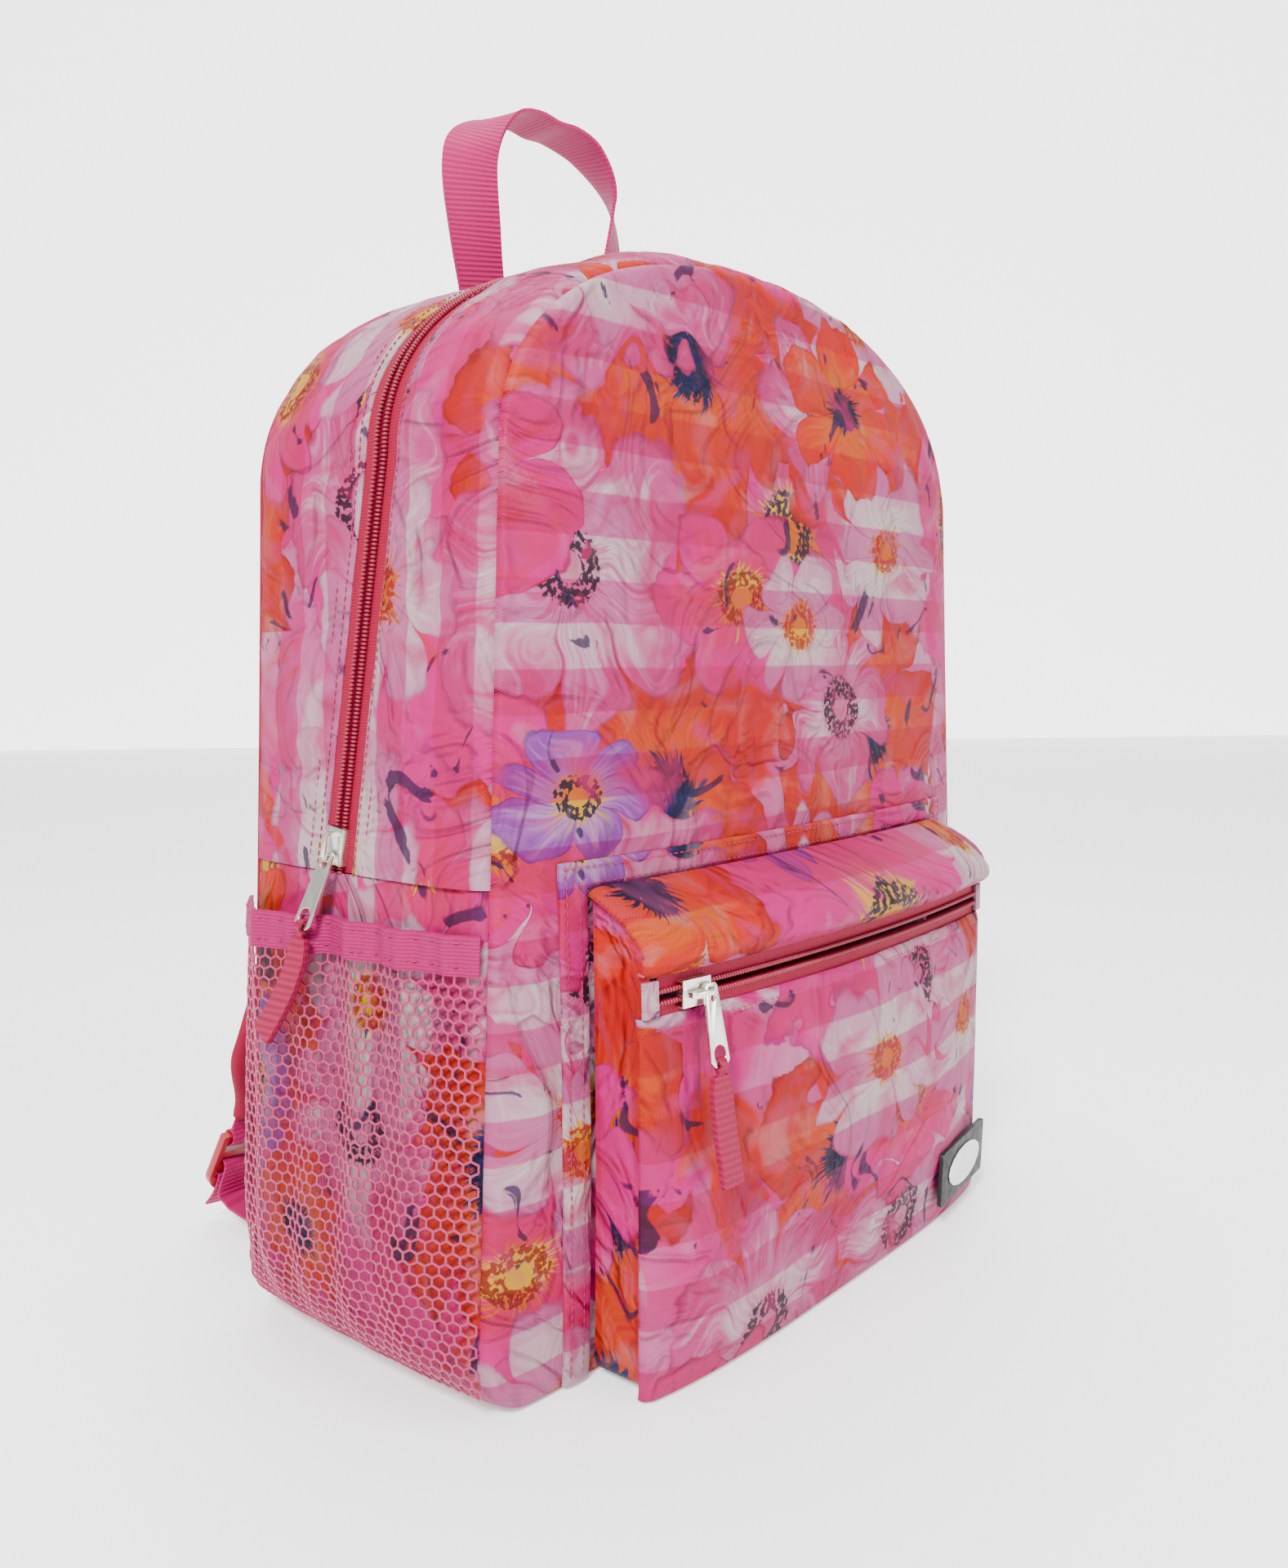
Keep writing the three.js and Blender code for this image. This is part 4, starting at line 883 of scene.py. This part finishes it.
def main_zip():
    feet = ("main_zip_foot_left", "main_zip_foot_right")
    for name, way, extra in (("front", -1, feet), ("rear", 1, ())):
        blended = FLAP if way < 0 else None
        tape, uv, *_ = rim_strip(lambda s: zip_y(s) + way * TAPE_GAP, lambda s: zip_y(s) + way * TAPE_WIDTH,
                                 0.004, 0, ZIP_SUNK - 0.0010)
        made = closed_sheet(f"zip_tape_{name}", tape, uv, TAPE, TAPE_THICK, out=(0, 0, 1))
        finish(made, "bag", "zip_tape", f"main_zip_tape_{name}", *extra, blended=blended)
        s, _ = rim_steps(0.003)
        line = gusset(s, zip_y(s) + way * (TAPE_GAP + 1.15 * MM), ZIP_SUNK - 1.75 * MM)
        teeth = grown(f"zip_coil_{name}", line, polyline_edges(len(line)), BEADS, COIL,
                      Pitch=1.5 * MM, Length=1.35 * MM, Width=2.7 * MM)
        finish(teeth, "bag", "zip_coil", f"main_zip_coil_{name}", blended=blended)
        rows = [gusset(s, zip_y(s) + way * (LIPS + d), -0.0002) for d in (0.0022, 0.0075)]
        sewn = stitches(f"zip_stitches_{name}", *rows)
        finish(sewn, "bag", "webbing", blended=blended)


def flank_bulge(y, z):
    return side_bulge(y) * ease((z - 0.004) / 0.060)


def side_panels():
    for name, way, seed in (("left", -1, 61), ("right", 1, 71)):
        y, z = grid(mix(-EDGE, EDGE, steps(2 * EDGE, 0.004)), mix(0.0004, ZIP_END, steps(ZIP_END, 0.004)))
        folds = 0.8 * waves(y, z * 0.5, seed, 0.05) + 0.8 * creases(y, z * 0.4, seed + 1, 0.06)
        room = ease((EDGE - np.abs(y)) / 0.02) * ease(z / 0.02) * ease((ZIP_END - z) / 0.02)
        x = way * (body_half(z) + flank_bulge(y, z) + MM * folds * room * 0.7)
        run = z - ZIP_END - 0.376
        made = closed_sheet(f"side_{name}", np.stack([x, y, z], -1), np.stack([run, y], -1), PRINT,
                            out=(way, 0, 0), curl=(0.0035, 0.0035, 0.001, 0.0006))
        finish(made, "bag", "print_cloth", f"side_panel_{name}")


# ---- Side pockets of netting ----
def standoff(u, z):
    mouth = mix(0.003, 0.014, ease((u - 0.5) / 0.3))
    belly = mix(0.013, mouth, ease(z / MESH_TOP))
    return 0.0014 + belly * (1 - np.abs(2 * u - 1) ** 3) * ease((z + 0.004) / 0.050)


def net_wall(u, z, way, out=0.0):
    y = mix(-EDGE, EDGE, u)
    room = (1 - np.abs(2 * u - 1) ** 3)
    drape = 0.0016 * np.sin(u * 34 + 2 * np.sin(z * 21)) * room * ease(z / 0.05)
    x = body_half(z) + flank_bulge(y, z) + standoff(u, z) + out + drape
    return np.stack([way * x, y, z], -1)


def netting(way):
    """Hexagonal mesh: its threads as edges over the pocket's wall."""
    radius = NET_CELL / math.sqrt(3)
    tall = 1.5 * radius
    columns = int(2 * EDGE / NET_CELL)
    low, high = 0.0095, MESH_TOP - ELASTIC + 0.001
    rows = int((high - low) / tall)
    points, edges, seen = [], [], {}

    def corner(i, j, k):
        angle = math.radians(60 * k + 30)
        a = (i + 0.5 * (j % 2)) * NET_CELL + radius * math.cos(angle)
        b = j * tall + radius * math.sin(angle)
        key = (round(a * 1e5), round(b * 1e5))
        if key not in seen:
            seen[key] = len(points)
            points.append((a, b))
        return seen[key]

    for i in range(columns):
        for j in range(rows):
            ring = [corner(i, j, k) for k in range(6)]
            edges += [tuple(sorted(pair)) for pair in zip(ring, ring[1:] + ring[:1])]
    flat = np.array(points)
    flat -= flat.min(0)
    u = flat[:, 0] / flat[:, 0].max()
    z = mix(low, high, flat[:, 1] / flat[:, 1].max())
    return net_wall(u, z, way), sorted(set(edges))


def side_pockets():
    for name, way in (("left", -1), ("right", 1)):
        points, edges = netting(way)
        net = grown(f"netting_{name}", points, edges, THREADS, NET, Radius=NET_THREAD)
        finish(net, "bag", "netting", f"mesh_pocket_{name}")
        u, z = grid(np.linspace(0, 1, 110), mix(MESH_TOP - ELASTIC, MESH_TOP, steps(ELASTIC, 0.002)))
        p = net_wall(u, z, way, 0.0016 + 0.0004 * np.sin(u * 90))
        uv = np.stack([u * 0.15, z], -1)
        made = closed_sheet(f"elastic_{name}", p, uv, STRETCH, COATED_FOLD, out=(way, 0, 0),
                            curl=(0, 0, 0.0006, 0.0006))
        finish(made, "bag", "elastic", f"pocket_elastic_{name}")
        u = np.linspace(0.01, 0.99, 110)
        rows = [net_wall(u, 0 * u + MESH_TOP - d, way, 0.0018) for d in (0.0025, 0.0105)]
        sewn = stitches(f"elastic_stitches_{name}", *rows, pitch=3.6 * MM)
        finish(sewn, "bag", "elastic")


# ---- Front pocket ----
def pocket_zip_y(x):
    return POCKET_CENTRE - np.sqrt(POCKET_ARC**2 - x * x)


def pocket_y(x, z):
    top = POCKET_ZIP - ZIP_SLIT / 2
    base = FRONT - POCKET_DEPTH + 0.008 * (x / POCKET_HALF) ** 4
    puff = 0.005 * (1 - (x / POCKET_HALF) ** 2) * np.sin(np.pi * np.minimum(1, z / top))
    return mix(base, pocket_zip_y(x), ease(z / top)) - puff


def pocket_roof_y(x, z):
    """The gathered cloth above the pocket's zip, which sags over it, most at the right."""
    v = np.clip((z - POCKET_ZIP - ZIP_SLIT / 2) / (POCKET_TOP - POCKET_ZIP - ZIP_SLIT / 2), 0, 1)
    seam = front_y(x, 0 * x + POCKET_TOP) - 0.0046
    lean = 0.75 + 0.6 * ease((x + POCKET_HALF) / 0.24)
    puff = 0.0105 * lean * np.sin(np.pi * v) * (1 - 0.45 * (x / POCKET_HALF) ** 2)
    return mix(pocket_zip_y(x), seam, v**2.2) - puff


def front_pocket():
    u = steps(2 * POCKET_HALF, 0.0038)
    up = mix(0.001, POCKET_ZIP - ZIP_SLIT / 2, steps(0.14, 0.0038))
    x, z = grid(mix(-POCKET_HALF, POCKET_HALF, u), up)
    far = np.minimum(np.minimum(POCKET_HALF - np.abs(x), z), 0.141 - z + 0.004)
    folds = 2.6 * waves(x, z * 0.8, 83, 0.10) + 1.8 * creases(x * 0.7, z, 85, 0.08)
    folds += 1.4 * gathers(x, 0.141 - z, 87, 0.024, 0.022) + 0.4 * waves(x, z, 89, 0.022)
    y = pocket_y(x, z) - MM * folds * ease(far / 0.018)
    made = closed_sheet("pocket_face", np.stack([x, y, z], -1), np.stack([x + 0.5, z + 0.003], -1), PRINT,
                        out=(0, -1, 0), curl=(0.004, 0.004, 0.001, 0.0012))
    finish(made, "bag", "print_cloth", "front_pocket_face")

    low = POCKET_ZIP + ZIP_SLIT / 2
    x, z = grid(mix(-POCKET_HALF, POCKET_HALF, u), mix(low, POCKET_TOP, steps(0.031, 0.0022)))
    mid = np.sin(np.pi * (z - low) / (POCKET_TOP - low))
    folds = 3.4 * gathers(x, POCKET_TOP - z, 91, 0.034, 0.018) + 2.6 * creases(x, z * 0.6, 93, 0.05)
    pleat = np.exp(-(((x + 0.098 + (z - low) * 0.7) / 0.010) ** 2))
    y = pocket_roof_y(x, z) - MM * (folds + 3.5 * pleat) * mid * ease((POCKET_HALF - np.abs(x)) / 0.012)
    z = z - 0.004 * mid * (0.6 + 0.4 * x / POCKET_HALF)
    made = closed_sheet("pocket_roof", np.stack([x, y, z], -1), np.stack([x + 0.5, z + 0.01], -1), PRINT,
                        out=(0, -1, 0.3), curl=(0.003, 0.003, 0.0012, 0.0004))
    finish(made, "bag", "print_cloth", "front_pocket_top")

    half, corner = POCKET_HALF - 0.0025, 0.010
    turn = np.linspace(0, math.pi / 2, 8)
    arc = np.stack([-half + corner - corner * np.cos(turn), 0.001 + corner - corner * np.sin(turn)], 1)
    side = np.stack([np.full(50, -half), np.linspace(POCKET_TOP - 0.002, 0.0115, 50)], 1)
    floor = np.stack([np.linspace(-half + corner + 0.003, half - corner - 0.003, 60), np.full(60, 0.001)], 1)
    left = np.concatenate([side, arc])
    path = np.concatenate([left, floor, left[::-1] * [-1, 1]])
    run = np.concatenate([[0], np.cumsum(np.linalg.norm(np.diff(path, axis=0), axis=1))])
    a, v = grid(np.arange(len(path)), steps(0.04, 0.005))
    x, z = path[a, 0], path[a, 1]
    lip = np.where(z < POCKET_ZIP - 0.007, pocket_y(x, z), pocket_roof_y(x, z))
    y = mix(front_y(x, z) - 0.0026, lip + 0.0016, v)
    swell = MM * 1.6 * np.sin(np.pi * v) * waves(run[a], y, 95, 0.05) * ease(z / 0.03)
    x = x + np.sign(x) * swell * (z > 0.012)
    uv = np.stack([run[a], y + 0.02], -1)
    made = closed_sheet("pocket_sides", np.stack([x, y, z], -1), uv, PRINT)
    finish(made, "bag", "print_cloth", "front_pocket_gusset")


def pocket_flange():
    legs = 0.3
    u = np.unique(np.concatenate([np.linspace(0, legs, 50), np.linspace(legs, 1 - legs, 70),
                                  np.linspace(1 - legs, 1, 50)]))
    a, v = grid(u, steps(FLANGE, 0.0015))
    wide = mix(POCKET_HALF + FLANGE, POCKET_HALF - 0.001, v)
    high = mix(POCKET_TOP + FLANGE - 0.002, POCKET_TOP - 0.001, v)
    t = np.minimum(a, 1 - a) / legs
    leg = t < 1
    x = np.where(leg, np.sign(a - 0.5) * wide, mix(-wide, wide, np.clip((a - legs) / (1 - 2 * legs), 0, 1)))
    z = np.where(leg, mix(0.002, high, np.minimum(t, 1)), high)
    y = front_y(x, z) - 0.0021 - 0.0004 * waves(x, z, 97, 0.02)
    made = closed_sheet("pocket_flange", np.stack([x, y, z], -1), np.stack([x, z + 0.015], -1), PRINT,
                        COATED_FOLD, out=(0, -1, 0), curl=(0, 0, 0.0009, 0.0006))
    finish(made, "bag", "print_cloth", "front_pocket_flange")
    rows = []
    for inset in (0.0022, 0.0082):
        w, h = POCKET_HALF + FLANGE - inset, POCKET_TOP + FLANGE - 0.002 - inset
        up = np.linspace(0.006, h, 60)
        over = np.linspace(-w, w, 80)
        for x, z in ((0 * up - w, up), (over, 0 * over + h), (0 * up + w, up)):
            rows.append(np.stack([x, front_y(x, z) - 0.0024, z], 1))
    x = np.linspace(-0.124, 0.124, 120)
    rows.append(np.stack([x, pocket_y(x, 0 * x + 0.137) - 0.0004, 0 * x + 0.137], 1))
    sewn = stitches("pocket_stitches", *rows)
    finish(sewn, "bag", "webbing")


def pocket_zip():
    swing = math.asin(POCKET_ZIP_HALF / POCKET_ARC)
    a = np.linspace(-swing, swing, 90)

    def arc(turn, z, sunk):
        r = POCKET_ARC - sunk
        return np.stack([r * np.sin(turn), POCKET_CENTRE - r * np.cos(turn), z], -1)

    for name, way in (("lower", -1), ("upper", 1)):
        turn, v = grid(a, np.linspace(0, 1, 4))
        z = POCKET_ZIP + way * mix(TAPE_GAP, TAPE_WIDTH, v)
        p = arc(turn, z, ZIP_SUNK - 0.0006)
        uv = np.stack([turn * POCKET_ARC, z], -1)
        made = closed_sheet(f"pocket_tape_{name}", p, uv, TAPE, TAPE_THICK, out=(0, -1, 0))
        finish(made, "bag", "zip_tape", f"front_pocket_tape_{name}")
        line = arc(a, 0 * a + POCKET_ZIP + way * 0.00215, ZIP_SUNK - 1.35 * MM)
        teeth = grown(f"pocket_coil_{name}", line, polyline_edges(len(line)), BEADS, COIL,
                      Pitch=1.45 * MM, Length=1.25 * MM, Width=2.2 * MM)
        finish(teeth, "bag", "zip_coil", f"front_pocket_coil_{name}")


# ---- Ribbons and straps ----
def catmull(points, count):
    """A smooth line through points, at even shares of its spans, with centripetal spacing."""
    points = np.array(points, float)
    before, after = 2 * points[0] - points[1], 2 * points[-1] - points[-2]
    p = np.concatenate([[before], points, [after]])
    result = []
    for t in np.linspace(0, len(points) - 1, count):
        i = min(int(t), len(points) - 2)
        w = t - i
        a, b, c, d = p[i : i + 4]
        g = [max(1e-9, np.linalg.norm(q)) ** 0.5 for q in (b - a, c - b, d - c)]
        start = ((b - a) / g[0] - (c - a) / (g[0] + g[1]) + (c - b) / g[1]) * g[1]
        end = ((c - b) / g[1] - (d - b) / (g[1] + g[2]) + (d - c) / g[2]) * g[1]
        square, cube = 3 * w * w, 2 * w**3
        hermite = b * (cube - square + 1) + c * (square - cube)
        result.append(hermite + start * (w**3 - 2 * w * w + w) + end * (w**3 - w * w))
    return np.array(result)


def frames(line, across):
    along = np.gradient(line, axis=0)
    along /= np.linalg.norm(along, axis=1, keepdims=True)
    side = across - along * (across * along).sum(1, keepdims=True)
    side /= np.linalg.norm(side, axis=1, keepdims=True)
    return side, np.cross(side, along)


def haul_handle():
    """Webbing in a loop: its ends stand flat on the top seam and turn edge-on by the top."""
    half = HANDLE_HALF
    inner = half - WEBBING / 2
    arch = (1 - (inner / side_line(0.4)) ** ARCH) ** (1 / ARCH)
    base = SHOULDER + (HEIGHT - SHOULDER) * arch + side_bulge(HANDLE_Y - 0.005) + 0.0014
    left = [(-half, 0), (-half - 0.004, 0.36), (-half - 0.004, 0.80), (-half * 0.70, 1.01),
            (-half * 0.3, 1.06), (0, 1.05)]
    left = [(x, HANDLE_Y, base + HANDLE_RISE * t) for x, t in left]
    line = catmull(left + [(-x, y, z) for x, y, z in left[-2::-1]], 121)
    u = np.linspace(0, 1, 121)
    turn = mix(0.12, math.pi / 2, ease(np.minimum(u, 1 - u) * 2.4))
    across = np.stack([np.where(u < 0.5, 1, -1) * np.cos(turn), -np.sin(turn), 0 * u], 1)
    side, out = frames(line, across)
    v = (steps(WEBBING, 0.003) - 0.5) * WEBBING
    p = line[:, None] + side[:, None] * v[None, :, None] + out[:, None] * 0.0008
    run = np.cumsum(np.linalg.norm(np.gradient(line, axis=0), axis=1))
    uv = np.stack(grid(run, v), -1)
    made = closed_sheet("handle_webbing", p, uv, WEB, COATED_FOLD, curl=(0, 0, 0.0004, 0.0004))
    finish(made, "handle", "webbing", "haul_handle")


def shoulder_straps():
    for name, way in (("left", -1), ("right", 1)):
        line = catmull([(way * x * MM, y * MM, z * MM) for x, y, z in STRAP_LINE], 130)
        u = np.linspace(0, 1, 130)
        side, out = frames(line, np.tile([1.0, 0, 0], (130, 1)))
        if out[60, 1] < 0:
            out = -out
        half = STRAP_WIDTH / 2 * (1 - 0.5 * ease((u - 0.88) / 0.12))
        turn = np.linspace(0, 2 * math.pi, 41)[:-1]
        c, s = np.cos(turn), np.sin(turn)
        wide = np.sign(c) * np.abs(c) ** 0.55
        thick = np.sign(s) * np.abs(s) ** 0.75 * STRAP_HALF_THICK
        swell = 1 + 0.08 * waves(u * 0.38, 0 * u, 101, 0.04)
        end = np.sqrt(np.clip(np.minimum(u + 0.004, 1.004 - u) / 0.012, 0.05, 1))
        p = line[:, None] + side[:, None] * (half[:, None] * wide)[..., None]
        p = p + out[:, None] * (thick[None] * (swell * end)[:, None])[..., None]
        run = np.cumsum(np.linalg.norm(np.gradient(line, axis=0), axis=1))
        made = tube(f"strap_{name}_pad", p, run, STRAP_WIDTH * 1.2, BACKING)
        finish(made, f"strap_{name}", "plain_cloth", f"strap_cover_{name}", f"strap_foam_{name}",
               f"strap_lining_{name}")
        sewn = []
        for edge in (-1, 1):
            for face in (-1, 1):
                row = line + side * (edge * (half - 0.0065))[:, None] + out * face * 0.0049
                sewn.append(row[4:-4])
        finish(stitches(f"strap_{name}_stitches", *sewn), f"strap_{name}", "webbing")


def tube(name, rings, run, girth, material):
    """A closed body through rings of points, with flat ends."""
    rows, around = rings.shape[:2]
    points = rings.reshape(-1, 3)
    faces = []
    for i in range(rows - 1):
        for j in range(around):
            k = (j + 1) % around
            faces.append([i * around + j, i * around + k, (i + 1) * around + k, (i + 1) * around + j])
    faces.append(list(range(around))[::-1])
    faces.append([(rows - 1) * around + j for j in range(around)])
    v = np.linspace(0, girth, around, endpoint=False)
    uv = np.stack(grid(run, v), -1).reshape(-1, 2)
    made = as_object(name, points, faces, uv, material, angle=60)
    face_out(made)
    return made


# ---- Pieces kept from the solids, with their edges rounded ----
BODY_OF = {empty.name: name for name, empty in frame["bodies"].items()}


def polish(node, material, slot, bevel=0.0, uv=(2, 0)):
    """A copy of a solid with rounded edges and a cloth map from two of its axes."""
    source = NODES[node]
    mesh = source.data.copy()
    made = placed(node + "_shown", mesh)
    mesh.materials.clear()
    mesh.materials.append(material)
    weld = made.modifiers.new("weld", "WELD")
    weld.merge_threshold = 1e-6
    if bevel:
        round_off = made.modifiers.new("bevel", "BEVEL")
        round_off.width = bevel
        round_off.segments = 3
        round_off.limit_method = "ANGLE"
        round_off.angle_limit = math.radians(40)
    result = bpy.data.meshes.new_from_object(made.evaluated_get(bpy.context.evaluated_depsgraph_get()))
    made.modifiers.clear()
    made.data = result
    while result.uv_layers:
        result.uv_layers.remove(result.uv_layers[0])
    lay_cloth(result, np.array([v.co for v in result.vertices])[:, list(uv)])
    result.shade_smooth()
    result.set_sharp_from_angle(angle=math.radians(35))
    return finish(made, BODY_OF[source.parent.name], slot, node)


def kept_pieces():
    for side in ("left", "right"):
        polish(f"ladder_lock_{side}", BUCKLE, "buckle", 0.7 * MM)
        polish(f"strap_loop_{side}", WEB, "webbing", 0.2 * MM)
        polish(f"strap_webbing_{side}", WEB, "webbing", 0.2 * MM)
        polish(f"strap_anchor_{side}", BACKING, "plain_cloth", 0.8 * MM)
        polish(f"front_pocket_tab_{side}", PRINT, "print_cloth", 0.3 * MM, (0, 2))
    for name in ("main_slider", "front_pocket_slider", "main_puller", "front_pocket_puller"):
        polish(name, NICKEL, "zip_metal", 0.3 * MM)
    for name in ("main_pull_tape", "front_pocket_pull_tape"):
        polish(name, TAG, "webbing", 0.5 * MM)
    polish("label_patch", RUBBER, "label_rubber", 0.6 * MM)
    polish("label_emblem", RAISED, "label_raised", 0.3 * MM)
    polish("strap_yoke", BACKING, "plain_cloth", 0.6 * MM)
    polish("bottom_panel", PRINT, "print_cloth", 0.4 * MM, (0, 1))
    polish("back_foam", FOAM, "foam", 0)
    polish("back_lining", LINING, "plain_cloth", 0, (0, 2))
    polish("rear_seam_binding", LINING, "plain_cloth", 0, (0, 2))
    polish("front_seam_binding", LINING, "plain_cloth", 0, (0, 2))


# ---- Floor and light ----
def lit_plane(name, corners, place, turn, material, glow):
    """A flat stage plane that gives its own light."""
    mesh = bpy.data.meshes.new(name)
    mesh.from_pydata(corners, [], [(0, 1, 2, 3)])
    made = placed(name, mesh)
    made.location = place
    made.rotation_euler.z = math.radians(turn)
    shader = material[2]
    shader.inputs["Emission Color"].default_value = (1, 1, 1, 1)
    shader.inputs["Emission Strength"].default_value = glow
    mesh.materials.append(material[0])


def studio():
    far, wide, low, tall = 6, 5, -0.1, 4
    paint = surface("pale_floor", 0.6)
    paint[2].inputs["Base Color"].default_value = (0.9, 0.9, 0.9, 1.0)
    lit_plane("floor", [(-far, -far, 0), (far, -far, 0), (far, far, 0), (-far, far, 0)],
              (0, 0, -0.0002), 0, paint, FLOOR_LIGHT)
    world = bpy.data.worlds.new("white_room")
    world.use_nodes = True
    background = world.node_tree.nodes["Background"]
    background.inputs["Color"].default_value = (1, 1, 1, 1)
    background.inputs["Strength"].default_value = ROOM_LIGHT
    bpy.context.scene.world = world
    lit_plane("backdrop", [(-wide, 0, low), (wide, 0, low), (wide, 0, tall), (-wide, 0, tall)],
              (2.9, 2.5, 0), CAMERA_TURN, surface("lit_backdrop", 0.8), BACKDROP_LIGHT)
    for name, place, watts, size in LIGHTS:
        lamp = bpy.data.lights.new(name, "AREA")
        lamp.energy = watts
        lamp.size = size
        made = placed(name, lamp)
        made.location = place
        made.rotation_euler = (LIGHTS_AIM - Vector(place)).to_track_quat("-Z", "Y").to_euler()


front_panel()
back_panel()
bands()
main_zip()
side_panels()
side_pockets()
front_pocket()
pocket_flange()
pocket_zip()
haul_handle()
shoulder_straps()
kept_pieces()
studio()
